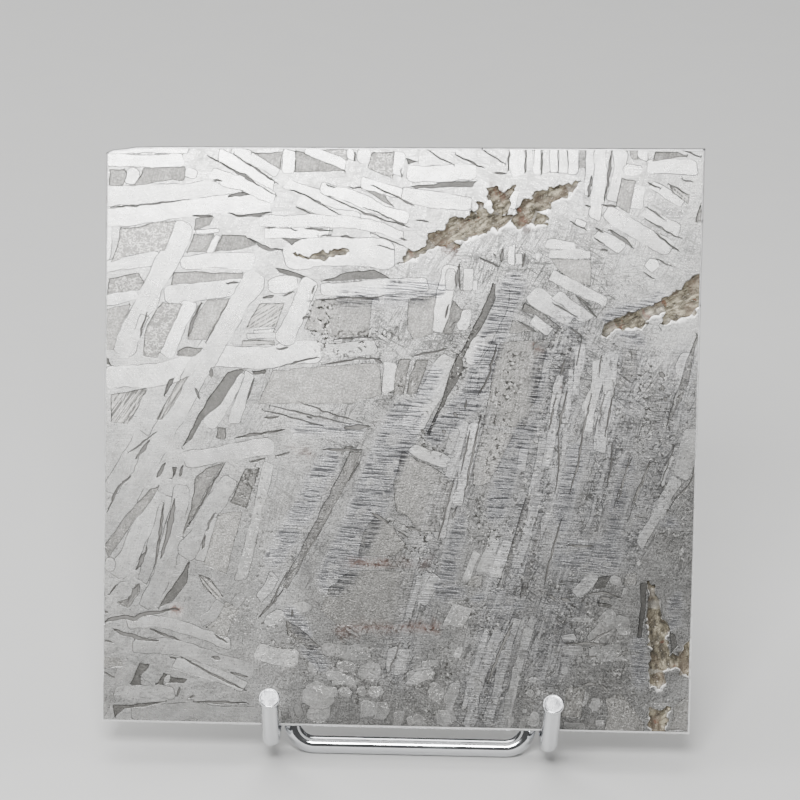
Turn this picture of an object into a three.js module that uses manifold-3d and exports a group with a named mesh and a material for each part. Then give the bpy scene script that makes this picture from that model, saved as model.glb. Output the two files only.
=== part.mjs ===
// An etched iron meteorite slice on a small chromed wire stand.
// Millimetres, +Z up. The slice's face looks towards -Y and leans back.
//
// The slice and the stand are laid out flat first: u runs to the right along the slice's lower edge,
// v runs up its face, and n stands out of the face. One turned group then leans them back.
import * as THREE from 'three';
import { mergeVertices } from 'three/addons/utils/BufferGeometryUtils.js';
import Module from 'manifold-3d';

const wasm = await Module();
wasm.setup();

// The slice's outline, its thickness and the ground edge around it.
const SLICE_OUTLINE = [
  [-39.77, 0.0], [39.77, 0.0], [40.18, 79.27], [-33.2, 77.95], [-36.8, 77.8], [-38.2, 77.55],
  [-39.9, 77.35], [-40.85, 76.9],
];
const SLICE_THICKNESS = 3.0;
const EDGE_BEVEL = 0.35;

// How deep the etch and the inclusions lie under the polished face.
const FIELD_DEPTH = 0.16;
const SLIT_DEPTH = 0.22;
const PIT_DEPTH = 0.5;
const CRACK_DEPTH = 0.7;
const CUT_CLEARANCE = 0.5;
const SLIT_STATIONS = 4;
const SLIT_FULLNESS = 0.5;

// The bands run through the iron at a slant, so the rear face shows them moved by this much.
const REAR_SHIFT = [1.4, -0.9];
const REAR_DEPTH = 0.12;
const REAR_SLIT_WIDTH = 0.45;
const REAR_HALF_WIDTH = 39.2;
const REAR_LOW = 0.5;
const REAR_HIGH = 77.3;

// The stand: rod, spacing of its legs, and how it leans.
const ROD_DIAMETER = 2.4;
const ROD_SIDES = 12;
const TOUCH_GAP = 0.3;
const LEAN_DEGREES = 22;
const STAND_CENTRE_U = 2.0;
const LEG_HALF_SPACING = 16.0;
const BAR_DROP = 2.8;
const LEG_RISE = 50;
const FRAME_BEND = 3.0;
const TOP_BEND = 3.6;
const BEND_STEPS = 5;

// The hooks: how far they rise behind the slice, their bends, and the prong in front of it.
const HOOK_DROP = 1.6;
const HOOK_RISE = 24;
const HOOK_BEND = 2.2;
const PRONG_BEND = 4.0;
const PRONG_SLOPE_DEGREES = 31;
const PRONG_END_V = 4.8;
const PRONG_START_N = -0.2;
const LIP_RADIUS = 1.4;
const LIP_CROWN_RADIUS = 1.2;
const LIP_THICKNESS = 0.5;

// The butt joint that closes the loop, part of the way up the right-hand strut.
const JOINT_SHARE = 0.45;
const JOINT_GAP = 0.4;
const WELD_RADIUS = 1.4;
const COLLAR_ROOT_RADIUS = 1.1;
const WELD_HALF_LENGTH = 1.1;

// Plessite windows between the bands, as corner points in u and v.
const FIELDS = [
  [-40.2, 74.6, -38.2, 74.7, -37.9, 73.9, -38.5, 72.4, -40.2, 72.4],
  [-35.6, 74.9, -30.1, 75.2, -30.2, 73.4, -33.8, 73.1, -36.9, 72.4],
  [-20.9, 77.2, -16.9, 77.5, -17.2, 75.1],
  [-15.2, 77.6, -14.2, 77.5, -12.5, 76.7, -8.4, 75.1, -15.2, 74.8],
  [-4.8, 77.7, -1.9, 77.8, -2.0, 76.0, -2.1, 74.2, -5.4, 75.6],
  [-38.6, 66.8, -36.0, 66.9, -33.5, 67.7, -31.2, 67.8, -32.6, 63.8, -34.5, 63.6, -37.5, 63.0,
    -39.7, 62.1, -38.9, 64.6],
  [-28.7, 66.1, -26.0, 66.2, -26.9, 63.8, -29.6, 63.6],
  [-24.9, 66.1, -21.8, 66.1, -20.3, 64.9, -22.5, 64.2, -25.8, 63.8],
  [-31.2, 60.9, -21.9, 61.0, -22.0, 60.3, -26.8, 59.7, -31.6, 59.2],
  [-39.9, 59.9, -36.0, 60.7, -35.2, 59.4, -36.0, 58.4, -40.2, 57.7],
  [-40.3, 55.6, -37.1, 56.4, -38.2, 53.8, -39.2, 50.3, -40.2, 50.3],
  [-32.7, 56.8, -30.0, 56.6, -31.8, 52.6, -33.3, 49.3, -35.1, 49.5, -35.0, 52.5, -34.2, 54.6],
  [-26.7, 57.2, -23.8, 57.5, -25.1, 54.8, -26.8, 51.9, -29.1, 51.9, -27.8, 55.5],
  [-30.5, 50.3, -29.6, 50.8, -27.2, 50.8, -28.2, 49.7, -30.5, 49.7],
  [-39.4, 44.2, -34.6, 45.2, -36.5, 41.0, -37.1, 40.3, -39.3, 40.5],
  [-30.0, 46.5, -29.0, 46.9, -31.0, 42.9, -32.4, 41.0, -33.2, 41.0, -30.9, 45.2],
  [-23.7, 47.6, -21.6, 48.0, -23.2, 45.6, -24.6, 43.2, -27.1, 41.0, -28.4, 38.4, -29.7, 37.3,
    -28.3, 39.9, -26.1, 44.2],
  [-24.9, 40.0, -23.8, 40.0, -23.8, 38.6, -25.1, 38.7],
  [-21.3, 53.6, -19.6, 56.9, -16.3, 57.1, -17.3, 53.9],
  [-12.2, 57.5, -4.4, 57.9, -4.8, 52.9, -9.0, 52.6, -13.5, 53.7, -12.6, 56.3],
  [-17.6, 47.9, -11.0, 48.6, -3.2, 49.2, -2.9, 45.0, -7.0, 43.7, -19.5, 43.4],
  [-11.4, 60.1, -7.5, 61.5, -4.2, 61.8, -2.2, 60.8, -7.5, 60.4],
  [0.5, 73.2, 5.6, 74.0, 9.4, 74.1, 8.8, 73.3, 5.2, 73.2, 1.2, 72.9],
  [-6.0, 72.8, -3.0, 71.9, -1.7, 70.4, -4.2, 71.7],
  [0.5, 58.0, 4.1, 58.5, 3.7, 53.4, 1.2, 52.6, 0.4, 54.0],
  [-0.4, 49.8, 3.2, 49.8, 1.9, 45.2, -0.8, 45.1],
  [6.6, 57.9, 7.9, 56.6, 6.2, 53.3, 5.2, 53.4],
  [11.8, 60.4, 12.2, 60.2, 12.0, 57.7, 10.3, 54.1, 9.0, 52.3, 7.9, 50.0, 8.1, 48.2, 6.3, 45.3,
    4.2, 41.0, 3.8, 39.7, 3.3, 39.8, 5.2, 44.0, 6.4, 48.6, 8.0, 51.5, 9.7, 55.2, 11.3, 58.8],
  [16.2, 57.8, 15.8, 56.8, 17.7, 56.2, 20.6, 54.2, 21.3, 54.3, 18.9, 56.4],
  [19.7, 63.8, 25.0, 63.8, 25.0, 60.4, 23.5, 60.7, 21.0, 62.1],
  [28.9, 75.0, 30.8, 74.6, 30.0, 70.3, 28.3, 71.2],
  [33.4, 78.6, 36.4, 78.6, 37.7, 78.1, 33.1, 77.3],
  [-26.4, 34.5, -24.0, 35.3, -26.4, 31.3, -29.4, 25.2, -28.2, 29.0, -27.8, 33.1],
  [-21.0, 34.6, -19.2, 34.5, -20.8, 29.3, -23.0, 30.0],
  [-24.5, 28.5, -21.4, 28.8, -23.3, 20.4, -26.4, 21.6],
  [-32.6, 32.0, -33.8, 31.6, -36.9, 28.1, -39.8, 23.9, -39.2, 22.2, -36.6, 26.2, -33.5, 30.3],
  [-28.3, 22.0, -28.6, 19.1, -30.6, 16.4, -32.4, 15.5, -30.1, 19.1],
  [-34.7, 8.1, -33.4, 7.9, -34.5, 6.5, -34.6, 5.1, -35.9, 5.1],
  [-30.4, 6.3, -28.3, 6.0, -28.7, 5.5, -30.6, 5.5],
  [-38.2, 2.3, -34.5, 2.6, -31.0, 3.0, -33.8, 2.2, -36.7, 1.9, -37.9, 0.7],
  [-6.9, 37.2, -5.4, 37.2, -7.0, 33.5, -10.4, 27.0, -15.0, 18.6, -15.9, 18.8, -12.5, 25.5],
  [13.0, 52.4, 19.5, 53.0, 18.0, 45.0, 16.5, 41.0, 11.0, 41.2, 12.4, 50.0],
  [39.2, 52.2, 38.1, 48.0, 36.1, 42.5, 38.2, 46.4, 38.8, 49.5],
  [39.2, 40.0, 38.9, 34.6, 36.5, 31.2, 33.0, 25.2, 31.5, 25.0, 36.0, 33.5, 37.4, 38.0],
  [17.6, 32.0, 16.9, 31.5, 14.8, 24.0, 13.2, 19.2, 14.0, 19.2, 16.4, 26.0],
];

// Narrow etched gaps between neighbouring bands: the widest width, then the points along the gap.
const SLITS = [
  [0.34, -27.2, 76.8, -23.0, 74.6, -17.6, 71.5],
  [0.3, -23.6, 77.1, -17.4, 73.1],
  [0.34, -16.0, 72.4, -13.6, 71.6, -9.0, 69.1],
  [0.3, -15.0, 70.1, -12.8, 69.2],
  [0.3, -5.0, 73.3, 0.5, 70.9],
  [0.26, -11.5, 71.9, -4.8, 69.2, 0.5, 67.6],
  [0.3, -40.0, 69.5, -35.0, 70.0, -29.2, 70.8],
  [0.5, -24.2, 69.1, -22.0, 68.7, -18.2, 69.3],
  [0.5, -24.2, 71.3, -22.0, 71.7, -21.2, 71.6],
  [0.5, -21.4, 65.8, -18.8, 64.4, -16.6, 64.2],
  [0.5, -27.4, 56.9, -28.2, 55.3, -29.2, 52.2],
  [0.3, -34.8, 55.5, -35.7, 52.0],
  [0.36, -28.1, 45.4, -27.4, 43.8],
  [0.6, -25.9, 48.2, -25.9, 46.8],
  [0.6, -34.0, 38.2, -35.9, 35.6],
  [0.4, -36.4, 33.3, -38.0, 31.8, -39.6, 28.3],
  [0.8, -30.5, 30.4, -31.0, 27.0, -32.2, 22.2],
  [0.45, -31.9, 29.8, -32.7, 22.8, -33.2, 20.8],
  [0.7, -34.2, 23.1, -35.5, 20.6],
  [0.5, -26.2, 25.5, -26.7, 23.6],
  [0.8, -35.1, 18.6, -36.4, 16.0],
  [0.55, -38.5, 12.6, -35.2, 11.5, -32.2, 11.1],
  [0.4, -33.5, 12.7, -29.3, 11.2],
  [0.35, -29.3, 9.1, -25.0, 6.8, -20.2, 4.6],
  [0.35, -27.4, 3.0, -20.0, 3.0],
  [0.35, -24.8, 12.3, -23.0, 11.0],
  [0.5, 24.8, 75.2, 24.5, 72.3],
  [0.5, 27.5, 78.6, 27.0, 74.5, 26.6, 71.8],
  [0.4, 15.9, 78.6, 15.9, 75.4],
  [0.3, 18.1, 78.4, 18.0, 75.1],
  [0.6, 27.3, 68.0, 29.7, 66.3, 30.7, 65.5],
  [0.3, 33.4, 67.8, 36.9, 65.2],
  [0.3, 6.3, 77.7, 10.4, 75.8],
  [0.3, 19.9, 57.9, 23.3, 56.1],
  [0.4, 23.1, 58.9, 26.0, 56.0],
  [0.35, 12.5, 52.2, 11.4, 47.5, 10.0, 45.0],
  [0.35, 10.6, 42.6, 9.2, 35.0, 8.5, 30.8],
  [0.3, 7.2, 34.0, 6.0, 29.0, 5.2, 25.6],
  [0.5, 18.9, 28.5, 17.4, 21.5],
  [0.3, 21.9, 29.0, 20.3, 23.0, 19.7, 19.6],
  [0.3, 28.6, 46.8, 27.4, 40.0],
  [0.3, 22.2, 46.4, 21.0, 40.0],
  [0.3, 20.7, 45.4, 19.8, 40.6],
  [0.5, -3.9, 29.0, -1.4, 27.7],
  [0.4, -10.8, 37.4, -5.2, 37.5],
  [0.7, -7.9, 40.4, -4.4, 40.7],
  [0.5, 15.6, 14.8, 13.4, 9.6, 12.3, 6.2],
];

// Granular inclusions, sunk deeper than the etch, as corner points in u and v.
const INCLUSIONS = [
  [-15.2, 63.8, -14.0, 63.7, -10.0, 64.4, -8.2, 64.8, -7.6, 64.2, -10.0, 63.4, -13.5, 63.1],
  [-0.9, 62.7, 0.4, 64.7, 2.7, 65.2, 3.6, 67.1, 5.3, 68.2, 5.8, 69.0, 8.2, 69.4, 9.6, 69.8, 9.2, 71.3,
    10.4, 71.2, 10.9, 70.2, 11.6, 70.3, 10.8, 71.8, 10.7, 73.3, 12.3, 73.3, 14.6, 73.8, 14.0, 71.3,
    13.6, 69.8, 14.1, 69.0, 13.0, 67.9, 11.0, 67.1, 8.5, 66.5, 6.7, 65.9, 7.6, 65.5, 6.4, 64.4,
    4.6, 65.1, 2.5, 64.1],
  [14.1, 68.6, 14.9, 69.9, 15.8, 71.8, 17.0, 72.5, 20.0, 73.6, 23.2, 74.5, 21.8, 72.5, 19.6, 71.4,
    19.4, 70.7, 17.4, 70.2, 18.9, 69.7, 19.1, 68.4, 16.2, 68.4, 15.5, 67.9],
  [26.7, 53.7, 27.0, 55.1, 29.5, 56.4, 32.4, 57.6, 35.0, 59.0, 37.6, 60.7, 39.0, 62.0, 40.9, 62.6,
    40.9, 58.4, 39.5, 57.7, 39.0, 56.5, 36.9, 55.9, 34.4, 55.3, 35.1, 56.9, 33.2, 56.2, 32.0, 54.7,
    28.8, 54.6, 27.4, 53.4],
  [33.6, 20.4, 34.6, 20.1, 35.6, 15.6, 36.4, 15.1, 36.6, 10.8, 38.2, 11.5, 39.2, 12.8, 40.9, 13.1,
    40.9, 7.4, 39.2, 7.9, 37.2, 8.8, 36.3, 7.8, 35.6, 6.2, 34.2, 6.3, 34.2, 11.8, 33.8, 17.0],
  [34.2, 3.5, 37.0, 3.6, 36.2, -0.8, 34.4, -0.8],
];

// The crack that runs in from the left edge: widest width, then its points.
const CRACK = [0.4, -40.4, 13.1, -38.9, 13.8, -36.7, 14.2, -34.3, 14.7, -31.0, 15.3, -29.5, 15.3];

const rodRadius = ROD_DIAMETER / 2;
const lean = THREE.MathUtils.degToRad(LEAN_DEGREES);

// Pairs up a flat list of numbers into points of the face.
function pointsOf(flat) {
  const points = [];
  for (let i = 0; i < flat.length; i += 2) {
    points.push(new THREE.Vector2(flat[i], flat[i + 1]));
  }
  return points;
}

// A closed solid for joins and cuts, from a geometry class's shape.
function solidOf(geometry) {
  const bare = geometry.clone();
  bare.deleteAttribute('normal');
  bare.deleteAttribute('uv');
  const merged = mergeVertices(bare, 1e-5);
  return new wasm.Manifold(new wasm.Mesh({
    numProp: 3,
    vertProperties: new Float32Array(merged.attributes.position.array),
    triVerts: new Uint32Array(merged.index.array),
  }));
}

// The geometry of a joined or cut solid.
function geometryOf(solid) {
  const mesh = solid.getMesh();
  const geometry = new THREE.BufferGeometry();
  geometry.setAttribute('position', new THREE.BufferAttribute(new Float32Array(mesh.vertProperties), 3));
  geometry.setIndex(new THREE.BufferAttribute(new Uint32Array(mesh.triVerts), 1));
  geometry.computeVertexNormals();
  return geometry;
}

// A straight-sided block over a patch of the face, from n = low to n = high.
function blockOver(points, low, high) {
  const shape = new THREE.Shape(points);
  const geometry = new THREE.ExtrudeGeometry(shape, { depth: high - low, bevelEnabled: false, steps: 1 });
  geometry.translate(0, 0, low);
  return solidOf(geometry);
}

// The outline of a gap that is widest in its middle and closes to a point at both ends.
function slitOutline([width, ...flat]) {
  const path = new THREE.CatmullRomCurve3(pointsOf(flat).map((p) => new THREE.Vector3(p.x, p.y, 0)));
  const right = [];
  const left = [];
  for (let i = 1; i < SLIT_STATIONS; i += 1) {
    const share = i / SLIT_STATIONS;
    const at = path.getPointAt(share);
    const along = path.getTangentAt(share);
    const half = (width / 2) * Math.sin(Math.PI * share) ** SLIT_FULLNESS;
    right.push(new THREE.Vector2(at.x + along.y * half, at.y - along.x * half));
    left.unshift(new THREE.Vector2(at.x - along.y * half, at.y + along.x * half));
  }
  const start = path.getPointAt(0);
  const end = path.getPointAt(1);
  return [new THREE.Vector2(start.x, start.y), ...right, new THREE.Vector2(end.x, end.y), ...left];
}

// The same points, moved over the face.
function moved(points, [du, dv]) {
  return points.map((p) => new THREE.Vector2(p.x + du, p.y + dv));
}

// True where every point keeps clear of the ground edge, so that no cut breaks through it.
function staysInside(points) {
  return points.every((p) => Math.abs(p.x) < REAR_HALF_WIDTH && p.y > REAR_LOW && p.y < REAR_HIGH);
}

// The plate with its ground edge, before the etch.
function plate() {
  const shape = new THREE.Shape(pointsOf(SLICE_OUTLINE.flat()));
  const geometry = new THREE.ExtrudeGeometry(shape, {
    depth: SLICE_THICKNESS - 2 * EDGE_BEVEL,
    bevelEnabled: true,
    bevelThickness: EDGE_BEVEL,
    bevelSize: EDGE_BEVEL,
    bevelOffset: -EDGE_BEVEL,
    bevelSegments: 1,
    steps: 1,
  });
  geometry.translate(0, 0, EDGE_BEVEL - SLICE_THICKNESS);
  return solidOf(geometry);
}

// The slice: the plate with its etched windows and gaps on both faces, its sunk inclusions and its crack.
function sliceGeometry() {
  let slice = plate();
  const cutFront = (points, depth) => {
    slice = slice.subtract(blockOver(points, -depth, CUT_CLEARANCE));
  };
  FIELDS.forEach((flat) => cutFront(pointsOf(flat), FIELD_DEPTH));
  SLITS.forEach((row) => cutFront(slitOutline(row), SLIT_DEPTH));
  INCLUSIONS.forEach((flat) => cutFront(pointsOf(flat), PIT_DEPTH));
  cutFront(slitOutline(CRACK), CRACK_DEPTH);
  const rearTop = -SLICE_THICKNESS - CUT_CLEARANCE;
  [...FIELDS.map(pointsOf), ...SLITS.filter(([width]) => width > REAR_SLIT_WIDTH).map(slitOutline)]
    .map((points) => moved(points, REAR_SHIFT))
    .filter(staysInside)
    .forEach((points) => {
      slice = slice.subtract(blockOver(points, rearTop, REAR_DEPTH - SLICE_THICKNESS));
    });
  return geometryOf(slice);
}

// A rod's centre line: straight lengths between corner points, each corner rounded by its own radius.
class RodPath extends THREE.Curve {
  constructor(corners, radii, firstNormal) {
    super();
    this.firstNormal = firstNormal;
    this.stations = [corners[0].clone()];
    this.headings = [corners[1].clone().sub(corners[0]).normalize()];
    for (let i = 1; i < corners.length - 1; i += 1) {
      this.addBend(corners[i - 1], corners[i], corners[i + 1], radii[i - 1]);
    }
    this.stations.push(corners.at(-1).clone());
    this.headings.push(corners.at(-1).clone().sub(corners.at(-2)).normalize());
  }

  addBend(before, corner, after, radius) {
    const from = corner.clone().sub(before).normalize();
    const to = after.clone().sub(corner).normalize();
    const turn = from.angleTo(to);
    const setback = radius * Math.tan(turn / 2);
    const start = corner.clone().addScaledVector(from, -setback);
    const axis = from.clone().cross(to).normalize();
    const inward = axis.clone().cross(from);
    const centre = start.clone().addScaledVector(inward, radius);
    for (let step = 0; step <= BEND_STEPS; step += 1) {
      const angle = (turn * step) / BEND_STEPS;
      const arm = start.clone().sub(centre).applyAxisAngle(axis, angle);
      this.stations.push(centre.clone().add(arm));
      this.headings.push(from.clone().applyAxisAngle(axis, angle));
    }
  }

  get steps() {
    return this.stations.length - 1;
  }

  getPoint(t) {
    return this.stations[Math.round(t * this.steps)].clone();
  }

  getPointAt(t) {
    return this.getPoint(t);
  }

  getTangentAt(t) {
    return this.headings[Math.round(t * this.steps)].clone();
  }

  // Carries the first normal along without twist, so that the rod's flats keep their place.
  computeFrenetFrames() {
    const normals = [this.firstNormal.clone()];
    for (let i = 1; i < this.headings.length; i += 1) {
      const turn = new THREE.Quaternion().setFromUnitVectors(this.headings[i - 1], this.headings[i]);
      normals.push(normals[i - 1].clone().applyQuaternion(turn));
    }
    const binormals = normals.map((normal, i) => this.headings[i].clone().cross(normal));
    return { tangents: this.headings, normals, binormals };
  }
}

// A length of rod bent along a path.
function rodAlong(path) {
  const section = new THREE.Shape();
  for (let i = 0; i < ROD_SIDES; i += 1) {
    const angle = (2 * Math.PI * (i + 0.5)) / ROD_SIDES;
    const x = rodRadius * Math.cos(angle);
    const y = rodRadius * Math.sin(angle);
    if (i === 0) {
      section.moveTo(x, y);
    } else {
      section.lineTo(x, y);
    }
  }
  section.closePath();
  const options = { steps: path.steps, extrudePath: path, bevelEnabled: false };
  return solidOf(new THREE.ExtrudeGeometry(section, options));
}

// A short turned collar or lip on a rod, its axis along the given heading.
function collarAt(point, heading, profile) {
  const turned = new THREE.LatheGeometry(profile.map(([r, h]) => new THREE.Vector2(r, h)), ROD_SIDES);
  const turn = new THREE.Quaternion().setFromUnitVectors(new THREE.Vector3(0, 1, 0), heading);
  turned.applyQuaternion(turn);
  turned.translate(point.x, point.y, point.z);
  return solidOf(turned);
}

// The loop of rod: low front bar, two legs behind the slice, rounded tops, and the rear struts and bar.
// The struts lean back as far as the legs lean forward, and both bars lie on the floor on a flat.
function frameGeometry() {
  const behind = -(SLICE_THICKNESS + TOUCH_GAP + rodRadius);
  const up = new THREE.Vector3(0, Math.cos(lean), Math.sin(lean));
  const back = new THREE.Vector3(0, Math.sin(lean), -Math.cos(lean));
  const strutReach = 2 * (LEG_RISE + BAR_DROP) * Math.sin(lean);
  const front = new THREE.Vector3(0, -BAR_DROP, behind);
  const rear = front.clone().addScaledVector(back, strutReach);
  const top = new THREE.Vector3(0, LEG_RISE, behind);
  const at = (point, side) => new THREE.Vector3(STAND_CENTRE_U + side * LEG_HALF_SPACING, point.y, point.z);
  const joint = at(rear.clone().lerp(top, JOINT_SHARE), 1);
  const strut = rear.clone().sub(top).normalize();
  const corners = [
    joint.clone().addScaledVector(strut, JOINT_GAP / 2), at(rear, 1), at(rear, -1), at(top, -1),
    at(front, -1), at(front, 1), at(top, 1), joint.clone().addScaledVector(strut, -JOINT_GAP / 2),
  ];
  const radii = [FRAME_BEND, FRAME_BEND, TOP_BEND, FRAME_BEND, FRAME_BEND, TOP_BEND];
  const outward = back.clone().multiplyScalar(Math.cos(lean)).addScaledVector(up, Math.sin(lean));
  const firstNormal = new THREE.Vector3(-Math.cos(lean), 0, 0).addScaledVector(outward, Math.sin(lean));
  const rod = rodAlong(new RodPath(corners, radii, firstNormal));
  const bead = collarAt(joint, strut, [
    [0, -WELD_HALF_LENGTH], [COLLAR_ROOT_RADIUS, -WELD_HALF_LENGTH], [WELD_RADIUS, -WELD_HALF_LENGTH / 3],
    [WELD_RADIUS, WELD_HALF_LENGTH / 3], [COLLAR_ROOT_RADIUS, WELD_HALF_LENGTH], [0, WELD_HALF_LENGTH],
  ]);
  return geometryOf(rod.add(bead));
}

// A hook: down behind the slice, under its lower edge, and up in front of it to a spread, sheared end.
function hookGeometry(side) {
  const u = STAND_CENTRE_U + side * (LEG_HALF_SPACING + ROD_DIAMETER + TOUCH_GAP);
  const behind = -(SLICE_THICKNESS + TOUCH_GAP + rodRadius);
  const slope = THREE.MathUtils.degToRad(PRONG_SLOPE_DEGREES);
  const bendCorner = PRONG_START_N + PRONG_BEND * Math.tan(slope / 2);
  const endN = bendCorner + (PRONG_END_V + HOOK_DROP) / Math.tan(slope);
  const corners = [
    new THREE.Vector3(u, HOOK_RISE, behind),
    new THREE.Vector3(u, -HOOK_DROP, behind),
    new THREE.Vector3(u, -HOOK_DROP, bendCorner),
    new THREE.Vector3(u, PRONG_END_V, endN),
  ];
  const rod = rodAlong(new RodPath(corners, [HOOK_BEND, PRONG_BEND], new THREE.Vector3(1, 0, 0)));
  const heading = corners[3].clone().sub(corners[2]).normalize();
  const lip = collarAt(corners[3], heading, [
    [0, -2 * LIP_THICKNESS], [COLLAR_ROOT_RADIUS, -2 * LIP_THICKNESS], [LIP_RADIUS, -LIP_THICKNESS / 2],
    [LIP_RADIUS, 0], [LIP_CROWN_RADIUS, LIP_THICKNESS / 4], [0, LIP_THICKNESS / 4],
  ]);
  return geometryOf(rod.add(lip));
}

function sliceMesh() {
  const iron = new THREE.MeshStandardMaterial({ color: 0xbcbdb8, roughness: 0.42, metalness: 1.0 });
  const mesh = new THREE.Mesh(sliceGeometry(), iron);
  mesh.name = 'slice';
  return mesh;
}

function rodMesh(name, geometry) {
  const chrome = new THREE.MeshStandardMaterial({ color: 0xc9cbce, roughness: 0.08, metalness: 1.0 });
  const mesh = new THREE.Mesh(geometry, chrome);
  mesh.name = name;
  return mesh;
}

// Everything laid out on the slice's own plane, then leant back.
const leaning = new THREE.Group();
leaning.add(sliceMesh());
leaning.add(rodMesh('stand_frame', frameGeometry()));
leaning.add(rodMesh('hook_left', hookGeometry(-1)));
leaning.add(rodMesh('hook_right', hookGeometry(1)));
leaning.rotation.x = Math.PI / 2 - lean;

// The origin is on the floor, under the middle of the whole object.
const object = new THREE.Group();
object.add(leaning);
object.updateMatrixWorld(true);
const reach = new THREE.Box3().setFromObject(object, true);
const middle = reach.getCenter(new THREE.Vector3());
leaning.position.set(-middle.x, -middle.y, -reach.min.z);

export default object;
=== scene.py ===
"""Looks of an etched iron meteorite slice resting on a small chromed wire stand.

Lengths in the tables are millimetres on the slice's own plane: u runs to the right along its lower edge,
v runs up its face, and n stands out of the face. The tables of plates hold pixels of a Crop, which turns them into
such millimetres. Everything placed in the scene is in metres.
"""

import logging
import math
from dataclasses import dataclass, field
from enum import Enum, IntEnum
from functools import reduce

import bpy
import numpy as np
from mathutils import Matrix, Vector, kdtree
from mathutils.geometry import delaunay_2d_cdt


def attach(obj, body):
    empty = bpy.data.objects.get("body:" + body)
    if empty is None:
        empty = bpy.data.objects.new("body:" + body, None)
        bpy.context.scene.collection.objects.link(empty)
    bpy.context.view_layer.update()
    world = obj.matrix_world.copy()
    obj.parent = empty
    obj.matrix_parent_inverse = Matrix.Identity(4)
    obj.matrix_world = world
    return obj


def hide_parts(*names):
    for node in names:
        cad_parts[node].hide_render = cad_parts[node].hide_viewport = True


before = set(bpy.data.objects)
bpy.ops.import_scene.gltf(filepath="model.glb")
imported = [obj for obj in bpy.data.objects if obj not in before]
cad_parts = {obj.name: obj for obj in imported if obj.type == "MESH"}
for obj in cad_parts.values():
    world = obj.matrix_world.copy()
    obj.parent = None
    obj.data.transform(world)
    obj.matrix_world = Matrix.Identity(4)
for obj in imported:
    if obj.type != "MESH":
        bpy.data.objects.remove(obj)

LOG = logging.getLogger("scene")
MM = 0.001

# The slice: outline, thickness and lean, and where its lower edge's middle is in the object's frame.
OUTLINE = [
    (-39.77, 0.0), (39.77, 0.0), (40.18, 79.27), (-33.2, 77.95), (-36.8, 77.8), (-38.2, 77.55),
    (-39.9, 77.35), (-40.85, 76.9),
]
THICKNESS = 3.0
EDGE_BEVEL = 0.35
LEAN = math.radians(22)
PLANE_ORIGIN = (0.335, -16.901, 5.441)
REAR_SHIFT = (1.4, -0.9)

# The photograph: millimetres to a pixel, the pixel at the middle of the slice's lower edge, and how far it is turned.
MM_PER_PIXEL = 0.135
EDGE_PIXEL = (395.5, 728.5)
PHOTO_ROLL = math.radians(1.264)

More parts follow.
